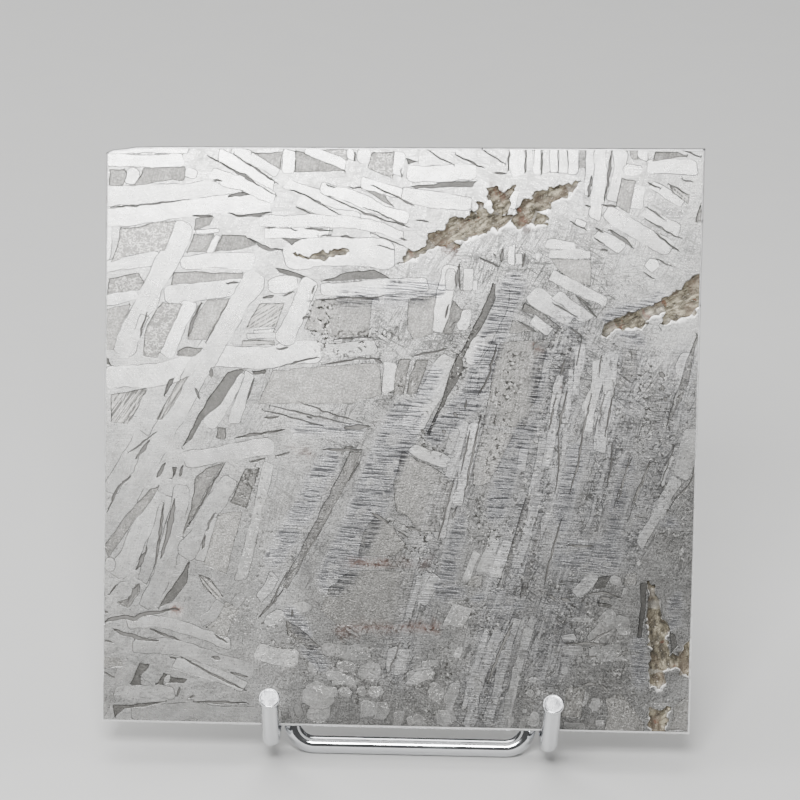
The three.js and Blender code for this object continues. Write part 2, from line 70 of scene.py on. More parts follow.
# Bands of nickel-poor iron, in the order in which they lie over one another: width, then u and v along the middle.
BANDS = [
    # top left
    (1.5, -41.5, 77.3, -35, 77.6, -29, 77.7), (1.7, -41.5, 75.7, -35, 75.9, -29.6, 76.2),
    (1.9, -37.9, 72.4, -36.5, 75), (2.5, -41.5, 70.9, -34, 71.5, -27, 72.1, -22, 72.3),
    (2.4, -41.5, 68.3, -36.5, 68.3, -31, 69.5, -24, 70.3, -18, 70.2), (1.7, -40.6, 67.8, -40.7, 60.5),
    (1.6, -41, 61.3, -36.5, 62.2, -33, 62.9), (0.55, -28.7, 66.4, -25, 66.7), (0.75, -25.3, 66.3, -26.7, 63.3),
    (1.9, -31, 62.2, -26, 62.6, -20, 63), (2.9, -29.7, 68, -31.6, 63.5, -34.2, 58.5, -36.6, 53.5, -38.3, 49.2),
    (1.8, -29.4, 73.4, -28.8, 75.2), (1.7, -26, 77.2, -22, 75.1, -17.6, 72.4), (1.8, -27, 74.6, -22, 72.9, -17.5, 71),
    (1.5, -24, 78, -20, 76, -17, 74.3),
    # top, left of the middle
    (1.7, -16.1, 78.2, -16.2, 74), (1.6, -14.5, 78.6, -11, 77, -8, 75.7), (1, -7.8, 78.4, -7.7, 76.2),
    (2, -6, 78.5, -5.9, 75.9), (1.6, -1.1, 78.4, -1.3, 74.2), (1.6, -17, 73.4, -12.5, 71.8, -8, 70, -3, 68.8),
    (1.6, -15, 71.2, -11, 69.6, -6, 68.6), (1.7, -12, 73, -7, 71.4, -2, 69.4, 0.5, 68.6),
    (1.5, -7, 73.6, -3, 72.8, 0.5, 71.8), (4, -17, 63, -12, 64.2, -5, 64.2, -1, 63.6),
    (1.6, -20.5, 68, -14, 68.1, -6, 68, 0, 66.5), (1.4, -20, 66.3, -10, 66.8),
    (2.6, -18.8, 59.4, -16, 59.6, -14.2, 60.3),
    # left, half-way up
    (1.3, -34.9, 55.6, -35.9, 53, -36.6, 51.2), (1.7, -41.3, 57, -38.5, 57.4, -35.8, 58.2),
    (2.6, -32.8, 57.9, -29, 58.3, -25, 58.9, -21.5, 59.3), (2.1, -28.8, 57.4, -30.5, 53.5, -32.4, 49.2),
    (3, -41, 46.4, -36, 46.8, -31.5, 47.5, -26, 49.3, -21, 49.6, -16, 50, -11, 50.8),
    (3.1, -19.6, 61.2, -22.3, 57.2, -25, 52.6, -27.3, 48.6, -29.6, 43.8, -31.8, 39.8, -33.8, 36.2, -36.3, 31.6, -38.7,
     27.4, -41, 23.5), (1.9, -21.8, 48, -24, 44, -26.5, 39.9), (1.4, -20.6, 48, -21.9, 44, -22.9, 40),
    (2.2, -34.8, 39.6, -37.3, 34.6, -39.4, 30.6),
    # middle
    (0.6, -20.6, 53, -17.2, 53.4), (0.8, -21.5, 52.4, -16.8, 52.7),
    (2.5, -12.6, 60.8, -14, 57, -15.6, 53.4, -17, 51.5), (1.9, -12, 59, -8, 59.2, -3, 59.6, 3.5, 60),
    (1.8, -1.7, 50.2, -2, 47, -1.9, 44.8), (0.55, 1.35, 49.3, 1.25, 47.5, 1, 45.4),
    (2.3, 6.2, 63, 5.3, 58.5, 4.6, 53.3), (1.6, 8.6, 62, 8.5, 59.3), (1.9, 8.6, 57.2, 7.9, 54.8, 7.3, 53.4),
    (1.3, 9.6, 44.5, 8.9, 42.3), (1.6, 8.5, 42, 7.5, 38, 6.9, 34.5, 6.2, 31, 5.6, 27.5, 5.3, 25.5),
    (1.7, 10.1, 42, 9.2, 37.5, 8.4, 33, 7.6, 30), (2.3, 16.6, 59.4, 22.8, 55.4), (1.7, 19.9, 59.3, 25.4, 55.4),
    (1.5, 18.8, 62, 27.6, 57.9), (1.2, -8.6, 8.8, -5.4, 7.8), (1.35, -9.7, 7.2, -5, 5.9),
    (1.35, -4.4, 7.4, -1.7, 6.9), (1.35, -12, 4.8, -7.2, 4.7), (1.3, -3.8, 5.4, -1.5, 4.9),
    (1.4, 16.8, 56, 20.2, 53.6), (1.3, 16.8, 39, 16.3, 36.5, 16.2, 34.5),
    (1.3, 19.2, 40, 18.9, 37, 18.3, 34, 17.7, 31.2), (1.5, 18.5, 33, 17.6, 29, 16.6, 25, 15.6, 21.5),
    (1.6, 14.8, 26.5, 14, 23.5, 13, 20.5), (1.2, 10.6, 24.8, 9.6, 22, 8.9, 19.8),
    (1.3, 3.7, 21.5, 3.3, 18, 2.8, 16.5), (1.5, 0.8, 38.2, 3.5, 36.9, 6.8, 35.9),
    (3, 6.4, 50.6, 4.4, 46.6, 2, 42.2, 0.6, 39.8), (1, 9.9, 48.6, 9.4, 45.4),
    (1.8, 12.9, 26.4, 12.1, 23.5, 11.2, 20.8), (1.6, 27.2, 21.6, 25.4, 20, 23.6, 18.4),
    # lower left
    (2.6, -32.6, 31.5, -34.3, 27.2, -36.2, 23.4, -38.5, 19.5), (1.6, -31.4, 31, -32.4, 27, -33.4, 23, -34.7, 18.6),
    (2.2, -29.4, 32.5, -30, 28, -30.6, 24, -32.3, 19.2, -34.5, 15.4),
    (2.5, -22.8, 33.6, -25.2, 29.6, -27.2, 25.6, -29.2, 22.2), (1.1, -25.2, 28.5, -26, 24.5, -27.2, 21.7),
    (2.4, -29.8, 35.6, -25.5, 36.3, -21, 37.2, -17, 37.9), (0.8, -34, 32.3, -32.2, 32.9), (1.8, -40, 21.5, -38, 21),
    (2.3, -37.6, 17.3, -36.2, 18.7), (1.9, -33.1, 7.7, -33.7, 5.3), (0.8, -30.8, 6.9, -31.2, 5.2),
    (2.3, -36.2, 8.4, -37.5, 4.8), (2.2, -22.4, 17.4, -20.9, 16.2),
    (1.5, -17.9, 36.2, -18.4, 33, -19.2, 29, -20.3, 24, -21.5, 19), (1.5, -16.6, 21, -17.6, 18.6, -19, 16.6),
    # bottom
    (2.6, -13.6, 17, -13, 15), (1, -8.2, 8.3, -5.6, 8.2), (0.9, -9, 6, -5.5, 6.5), (1, -7.8, 5, -6.2, 4.6),
    (0.9, -5, 5.3, -4.5, 4.9), (1.1, -4, 5.2, -2.5, 4.5), (1.2, -0.5, 11.5, -0.8, 8.5, -0.6, 6.8),
    (1.6, 1.2, 11.5, 0.6, 9, 0.4, 6.8), (1.2, 1.2, 17.6, 0.9, 15.4), (2.2, 4.1, 5.2, 6.2, 5.2),
    (1.6, 1.5, 7.5, 5, 7.6), (1.4, 16.2, 15.5, 14.9, 11.5, 13.9, 7.5, 13, 3.5, 12.4, 0),
    (1.5, 14, 14.3, 12.8, 11.2, 11.6, 8.2, 10.5, 4, 9.9, 0), (1.2, 18, 14.5, 16.8, 10.5, 15.9, 6.5, 15.2, 2, 15, 0),
    (2, 5.8, 1.8, 7.5, 0.8), (1.8, -4.4, 2.9, -1.8, 2.6), (2, -12.6, 4.9, -8.6, 4.6), (2.4, -12, 2.2, -8.6, 2),
    (2, -10.6, 10.4, -3.4, 10.2), (1, 21.8, 12.5, 24.5, 13), (1.9, 25.6, 10.6, 29, 10.9, 30.6, 11.2),
    (1.8, 23.2, 5.2, 24, 1.5), (1.4, 27, 5, 26.8, 2.5), (1.6, 29.6, 21.5, 28.9, 19.8), (1.4, 0.5, 2.8, 0.3, 0.3),
    (1.8, 3.4, 2.2, 2.6, 0.4), (1.2, 17.3, 5.6, 18.8, 4.8), (1.6, 18.9, 3, 18.6, 0.3), (1.6, 29.4, 13.8, 31.6, 14.4),
    (0.9, 21.7, 11.3, 24.8, 11), (1, 22.4, 0.9, 26, 0.8), (1.6, 22, 8.6, 23.2, 8.8),
    # right
    (1.2, 21.3, 48.5, 20.6, 44, 20.2, 40, 19.3, 35), (1.3, 22.9, 48, 22, 44, 21.3, 40),
    (1.2, 23.9, 53, 23.6, 49, 23.2, 45), (1.4, 25, 45, 24.6, 43), (1.5, 26.2, 51, 26.2, 47.5, 25.4, 44, 25, 40),
    (1.8, 28, 52, 27.8, 49, 27.6, 45, 27, 41, 26.5, 37.5), (2.2, 38.5, 52, 37.2, 48),
    # top right
    (2.2, -0.5, 75, 4, 75.2, 9.5, 75.3), (1.9, 14.7, 79.3, 14.9, 74.5), (0.9, 16.4, 79.5, 16.4, 75.6),
    (1, 17.4, 79.5, 17.4, 75), (1.1, 18.6, 79.5, 18.6, 75), (1, 19.7, 79.5, 19.7, 75.2),
    (1.2, 20.9, 79.5, 20.9, 74.6), (1.3, 22.4, 79.5, 22.3, 75), (1.3, 24.7, 79.5, 24.6, 75, 24.7, 72),
    (1.8, 26.1, 79.5, 25.9, 75, 25.6, 71, 25.2, 68.9), (1.9, 28.7, 79.5, 28.3, 75, 27.7, 71.5),
    (2.7, 30.4, 77.2, 30.4, 75), (1.5, 31.9, 79.5, 31.8, 77), (1.6, 31.4, 74.5, 31, 72, 30.8, 70.3),
    (2.2, 32, 76.6, 36, 76.6, 39.5, 76.6), (1.3, 32.2, 74.5, 35, 73, 38, 71.3),
    (1.6, 31.6, 70.8, 34, 69.3, 37.5, 67.6), (2.2, 26.5, 70.5, 29.5, 68.9, 32.5, 67.3, 36, 65.2),
    (1.6, 25.1, 67.5, 27.2, 66.4, 29.6, 65.1), (1.1, 22.5, 69.2, 24.5, 68.4), (1.9, 32.3, 63.9, 34.2, 62.5),
    (1, 14.2, 66, 14.3, 62.5), (0.9, 15.3, 65, 15.3, 62.5), (1.5, 6.1, 62.5, 6, 59), (1.5, 8.4, 62.6, 8.4, 59),
    (1.1, 18.9, 64.5, 22, 64.5, 25.2, 64.6), (1.1, 18.4, 65.8, 20.5, 65.8, 23.2, 65.6), (1, 17.2, 64.1, 18.3, 64.2),
    (1.5, 37.4, 34.9, 35.6, 31.4, 33.8, 28, 31.9, 25), (2.2, 39.2, 41.8, 38.7, 37.8, 37.7, 34.2),
]

# Bands that look brighter or duller than their neighbours.
BRIGHT_BANDS = [
    (1.6, -23.8, 16.8, -25.2, 14.8, -27, 13.5), (2.8, -17.3, 15.5, -16.2, 13.8), (1.3, 8.2, 6.4, 7.4, 4.6, 6.8, 3.1),
    (0.8, 8.6, 11.6, 8, 9.4), (0.45, 10, 6.9, 10, 6.5), (1, 14.7, 73.5, 14.4, 71.8, 14.1, 70.2),
    (2.2, 10.6, 53.4, 9.5, 51, 8.7, 49), (0.6, 17.5, 3.3, 17.3, 2.2), (1, 30, 19.3, 31.1, 19.1),
    (0.6, 23.3, 15.3, 26.6, 15.2), (0.4, 27.5, 9.7, 30.2, 10.1, 31.4, 9.6), (0.5, 23.8, 25.9, 25.7, 25.7),
    (0.7, 26.7, 1.3, 28.4, 1.4), (0.7, 34.2, 4, 35.8, 3.9, 37.3, 4), (0.6, 31.9, 22.9, 32.8, 23.1),
    (1.5, -37, 13.4, -32, 13.6, -26, 12, -22, 10.8), (1.9, -36, 10.3, -30, 10.3, -24, 8.8, -19, 7.2),
    (1.6, -30.5, 8.3, -25, 6.9, -20, 5), (1.8, -38.5, 3.9, -33, 4.2, -29.5, 4.2),
    (2.4, -36, 1.4, -28, 1.6, -20, 1.4, -15, 1.2), (2.4, -19.5, 10.2, -16, 9.4, -13, 9.2),
]
DULL_BANDS = [
    (2.6, 13.2, 60.5, 12.4, 57, 11, 53.5, 9.3, 50.3, 8.8, 48.6), (1.8, -11, 51, -7, 51, -3, 51.6),
    (2, -1, 72.3, 3, 71.6, 9, 71), (1, 20, 30, 19, 27, 18.2, 24.5, 17.5, 22, 16.8, 19.5),
    (0.8, 3, 21, 2.3, 18.5, 1.6, 16, 1.3, 14.6), (0.7, 15.3, 14.5, 13.4, 9.6, 12.3, 6.2),
    (0.7, 12.2, 14, 11, 9.5, 10, 6, 9, 2.5), (0.9, 15.4, 5.6, 14.9, 2.5, 14.5, 0), (0.8, 17.4, 2.4, 17, 0),
    (0.7, 22.2, 41, 21.8, 37), (0.6, 9.4, 61, 9.5, 59.1), (0.6, 22.7, 49.3, 22.5, 45, 21.9, 40),
    (0.6, 36.6, 37.6, 35.6, 35, 35.2, 33.4), (1.2, 7.3, 41, 6.6, 38.5, 6, 36.8), (0.8, 7.3, 3, 8, 0.8),
    (2, 27, 14.5, 29.5, 16.5),
]

# Small plates of the same iron along the bottom, in the pixels of their crops: width, then x and y along the middle.
MIDDLE_PLATES = [
    (52, 840, 45, 765, 185), (42, 700, 478, 828, 436), (36, 505, 520, 552, 520), (42, 552, 530, 612, 540),
    (62, 790, 540, 856, 528), (45, 535, 620, 590, 565), (35, 600, 650, 640, 585), (40, 705, 650, 745, 640),
    (40, 262, 570, 285, 640), (72, 505, 455, 615, 440), (90, 285, 545, 430, 555), (50, 300, 610, 400, 640),
]
RIGHT_PLATES = [
    (95, 130, 780, 200, 905), (45, 830, 110, 770, 215), (60, 1000, 350, 1180, 355), (110, 1450, 90, 1440, 250),
    (75, 700, 380, 780, 400), (45, 985, 430, 1075, 425), (42, 1100, 428, 1170, 430), (65, 985, 505, 1070, 500),
    (55, 755, 570, 840, 575), (32, 842, 625, 845, 690), (80, 1180, 640, 1140, 780), (55, 0, 455, 150, 450),
    (50, 650, 820, 640, 905), (85, 790, 810, 790, 905),
]
DULL_MIDDLE_PLATES = [(60, 300, 440, 362, 418)]
DULL_RIGHT_PLATES = [(110, 1330, 90, 1320, 200, 1200, 310), (110, 1040, 640, 1110, 770)]

# Small angular plates there, in the pixels of a crop as well: x and y of the corners.
ANGULAR_PLATES = [
    (650, 345, 735, 345, 770, 275, 690, 252), (218, 495, 250, 522, 308, 516, 292, 492, 250, 486),
    (182, 540, 238, 578, 302, 578, 298, 556, 232, 524, 190, 522),
    (232, 604, 246, 626, 282, 626, 290, 608, 270, 588, 240, 588),
    (592, 612, 600, 636, 632, 654, 656, 626, 656, 592, 622, 580),
    (662, 660, 668, 684, 690, 682, 714, 616, 720, 570, 682, 576, 668, 612),
    (306, 618, 330, 628, 346, 606, 334, 588, 312, 590), (354, 606, 362, 624, 392, 632, 414, 610, 400, 584, 358, 588),
    (322, 708, 372, 702, 378, 656, 350, 640, 322, 650), (376, 712, 410, 716, 434, 684, 430, 650, 388, 650),
    (452, 738, 484, 740, 500, 700, 496, 680, 456, 690), (624, 738, 690, 736, 672, 682, 634, 678),
    (498, 578, 556, 576, 604, 556, 622, 532, 604, 516, 540, 528),
]

# Windows of fine-grained metal between the bands, as corners in u and v.
PLAIN_FIELDS = [
    (-4.9, 26.4, -3.4, 28.4, -1, 27.3, 1, 24.5, -1, 23.3, -5.5, 23.2),
    (0.2, 37.5, 2, 36.2, 4, 35.5, 5.5, 34.6, 7.2, 33.2, 6, 29.5, 5.2, 26.8, 3, 26, 0.8, 28.9, -0.5, 29.3, -1, 33,
     -0.2, 36), (11, 41, 15, 40, 14, 38, 13, 35.5, 12, 33.8, 11, 33, 9.8, 33.2, 9.7, 35, 10.8, 40),
    (-6.6, 21.1, 2.1, 21.3, 0.6, 14.4, -1, 13.9, -8.2, 13.8, -10.5, 15.8, -9.3, 18.9),
    (-40.3, 55.6, -37.1, 56.4, -38.2, 53.8, -39.2, 50.3, -40.2, 50.3),
    (-26.7, 57.2, -23.8, 57.5, -25.1, 54.8, -26.8, 51.9, -29.1, 51.9, -27.8, 55.5),
    (-12.2, 57.5, -4.4, 57.9, -4.8, 52.9, -9, 52.6, -13.5, 53.7, -12.6, 56.3),
    (-17.6, 47.9, -11, 48.6, -3.2, 49.2, -2.9, 45, -7, 43.7, -19.5, 43.4),
    (0.5, 58, 4.1, 58.5, 3.7, 53.4, 1.2, 52.6, 0.4, 54), (13, 52.4, 19.5, 53, 18, 45, 16.5, 41, 11, 41.2, 12.4, 50),
    (19.7, 63.8, 25, 63.8, 25, 60.4, 23.5, 60.7, 21, 62.1), (29.9, 79, 31.1, 79, 31, 77.5, 30.3, 77.6),
    (23.2, 79, 23.9, 79, 23.9, 76.3, 23.2, 76.2), (-24.5, 28.5, -21.4, 28.8, -23.3, 20.4, -26.4, 21.6),
    (-39.8, 8.9, -37.5, 8.7, -37, 7.6, -38.5, 7.5, -39.8, 7.2),
    (-23.3, 16.6, -21.5, 15.6, -22, 14.6, -23.2, 11.8, -24.7, 12.4, -25.8, 13, -24.3, 14.4),
    (30.8, 21.6, 32, 21.7, 32, 20.1, 30.4, 20.1), (10.2, 20.8, 11.3, 20.9, 11.2, 19.2, 9.1, 19.6),
    (23, 6, 25.5, 6, 25, 2, 22.4, 2.2), (29.6, 52, 31.4, 51.8, 31.4, 48, 30.3, 47.8, 29.4, 49),
    (14.2, 53.7, 14.6, 55.5, 17.4, 54), (28.3, 4.6, 30.2, 5.4, 32, 3.4, 33.5, 1.4, 33.4, 0.4, 28.2, 0.4, 28.6, 2),
    (37.5, 3.6, 39.6, 5.5, 39.6, 0.5, 36.8, 0.5, 37.4, 2),
]
SHADED_FIELDS = [
    (-40.2, 74.6, -38.2, 74.7, -37.9, 73.9, -38.5, 72.4, -40.2, 72.4), (-20.9, 77.2, -16.9, 77.5, -17.2, 75.1),
    (-15.2, 77.6, -14.2, 77.5, -12.5, 76.7, -8.4, 75.1, -15.2, 74.8),
    (-28.7, 66.1, -26, 66.2, -26.9, 63.8, -29.6, 63.6), (-28.5, 68.2, -26, 68.5, -26.6, 67.4, -28.6, 66.7),
    (-30.5, 50.3, -29.6, 50.8, -27.2, 50.8, -28.2, 49.7, -30.5, 49.7),
    (-24.9, 40, -23.8, 40, -23.8, 38.6, -25.1, 38.7),
    (16.2, 57.8, 15.8, 56.8, 17.7, 56.2, 20.6, 54.2, 21.3, 54.3, 18.9, 56.4),
    (28.9, 75, 30.8, 74.6, 30, 70.3, 28.3, 71.2), (33.4, 78.6, 36.4, 78.6, 37.7, 78.1, 33.1, 77.3),
    (39.7, 71.8, 39, 69.2, 39.9, 69.4), (-21, 34.6, -19.2, 34.5, -20.8, 29.3, -23, 30),
    (-15, 14.3, -13.5, 13.4, -11.8, 12, -10.5, 10.8, -11.5, 10.2, -13, 11.2, -14.8, 12.2),
    (39.6, 54, 38.1, 50.3, 37.1, 46.6, 36.2, 43.9, 35.8, 41.6, 36.9, 43.8, 38.1, 46.4, 38.6, 47.9, 39.1, 51),
    (-35, 18.8, -35.5, 18.6, -35.8, 17.5, -36.5, 16.7, -38, 16.2, -36.5, 15.5, -35.4, 17, -34.9, 17.7),
    (-6, 72.8, -3, 71.9, -1.7, 70.4, -4.2, 71.7), (6.6, 57.9, 7.9, 56.6, 6.2, 53.3, 5.2, 53.4),
    (-6.9, 37.2, -5.4, 37.2, -7, 33.5, -10.4, 27, -15, 18.6, -15.9, 18.8, -12.5, 25.5),
    (-35.6, 74.9, -30.1, 75.2, -30.2, 73.4, -33.8, 73.1, -36.9, 72.4),
    (-24.9, 66.1, -21.8, 66.1, -20.3, 64.9, -22.5, 64.2, -25.8, 63.8),
    (-31.2, 60.9, -21.9, 61, -22, 60.3, -26.8, 59.7, -31.6, 59.2),
    (17.6, 32, 16.9, 31.5, 14.8, 24, 13.2, 19.2, 14, 19.2, 16.4, 26),
    (18.9, 28.2, 18.2, 25.9, 17.3, 22.6, 16.4, 18, 17.2, 18.2, 18.1, 22.4, 19, 26),
    (1.8, 49.8, 3.3, 49.8, 1.85, 45.2, 0.5, 45.2, 1, 48), (-0.6, 49.8, 0.9, 49.9, 0.4, 47, 0, 45.1, -1.3, 45.1),
    (-32.6, 32, -33.8, 31.6, -36.9, 28.1, -39.8, 23.9, -39.2, 22.2, -36.6, 26.2, -33.5, 30.3),
    (-26.4, 34.5, -24, 35.3, -26.4, 31.3, -29.4, 25.2, -28.2, 29, -27.8, 33.1),
]
COMB_FIELDS = [
    (-39.4, 44.2, -34.6, 45.2, -36.5, 41, -37.1, 40.3, -39.3, 40.5),
    (-30, 46.5, -29, 46.9, -31, 42.9, -32.4, 41, -33.2, 41, -30.9, 45.2),
    (-21.3, 53.6, -19.6, 56.9, -16.3, 57.1, -17.3, 53.9),
    (-21.8, 51.9, -17.5, 51.9, -17.5, 51.3, -18.5, 51.5, -20, 51.2, -22, 51),
    (-27, 20.2, -25.4, 19.6, -23.6, 17.2, -24.6, 17, -26.3, 18.4),
    (35.3, 74.4, 37, 73.3, 38.1, 72.9, 37.9, 71.7, 37.2, 72.2, 35.8, 73.1),
]
NET_FIELDS = [
    (-38.6, 66.8, -36, 66.9, -33.5, 67.7, -31.2, 67.8, -32.6, 63.8, -34.5, 63.6, -37.5, 63, -39.7, 62.1, -38.9, 64.6),
    (-4.8, 77.7, -1.9, 77.8, -2, 76, -2.1, 74.2, -5.4, 75.6), (-11.8, 77.9, -8.3, 78.1, -8.2, 76.5, -9.2, 77),
    (-39.9, 59.9, -36, 60.7, -35.2, 59.4, -36, 58.4, -40.2, 57.7),
    (-32.7, 56.8, -30, 56.6, -31.8, 52.6, -33.3, 49.3, -35.1, 49.5, -35, 52.5, -34.2, 54.6),
]
DARK_FIELDS = [
    (-0.2, 77, 1.4, 76.6, 0, 76.2), (-16.9, 65.9, -14, 65.8, -14.8, 65.4, -15.4, 64.9, -16, 65.4),
    (-17.6, 61.8, -15.5, 61.4, -13.5, 60.7, -14, 60.5, -17, 61.2), (-40.9, 48.6, -40.4, 49.3, -39.8, 49, -39.4, 48.1),
    (-31.6, 46.4, -30.9, 46.6, -31.5, 45.4, -32.3, 44.2, -32, 45.3),
    (-23.7, 47.6, -21.6, 48, -23.2, 45.6, -24.6, 43.2, -27.1, 41, -28.4, 38.4, -29.7, 37.3, -28.3, 39.9, -26.1, 44.2),
    (-20.4, 47.8, -18.5, 48, -18.7, 47.5, -20.2, 47.4), (-11.4, 60.1, -7.5, 61.5, -4.2, 61.8, -2.2, 60.8, -7.5, 60.4),
    (0.5, 73.2, 5.6, 74, 9.4, 74.1, 8.8, 73.3, 5.2, 73.2, 1.2, 72.9),
    (11.8, 60.4, 12.2, 60.2, 12, 57.7, 10.3, 54.1, 9, 52.3, 7.9, 50, 8.1, 48.2, 6.3, 45.3, 4.2, 41, 3.8, 39.7, 3.3,
     39.8, 5.2, 44, 6.4, 48.6, 8, 51.5, 9.7, 55.2, 11.3, 58.8), (-30.9, 34.6, -30.3, 34.6, -30.6, 33.5, -30.9, 33),
    (-28.3, 22, -28.6, 19.1, -30.6, 16.4, -32.4, 15.5, -30.1, 19.1),
    (-34.7, 8.1, -33.4, 7.9, -34.5, 6.5, -34.6, 5.1, -35.9, 5.1), (-30.4, 6.3, -28.3, 6, -28.7, 5.5, -30.6, 5.5),
    (-31.5, 6.8, -31, 6.6, -31.5, 5.8, -31.5, 5.2, -32.5, 5.3, -31.9, 6),
    (-38.2, 2.3, -34.5, 2.6, -31, 3, -33.8, 2.2, -36.7, 1.9, -37.9, 0.7),
    (27, 21, 28.6, 21.3, 27.9, 19.6, 26.2, 19.3), (32.6, 20.3, 33.6, 20.3, 33.4, 17, 33, 13, 32.3, 12.9, 32.8, 17.5),
    (26.9, 17.6, 28.9, 17.3, 28.6, 16.9, 27.2, 17), (36.7, 13.9, 37.5, 13.4, 37.8, 12, 37, 11),
]

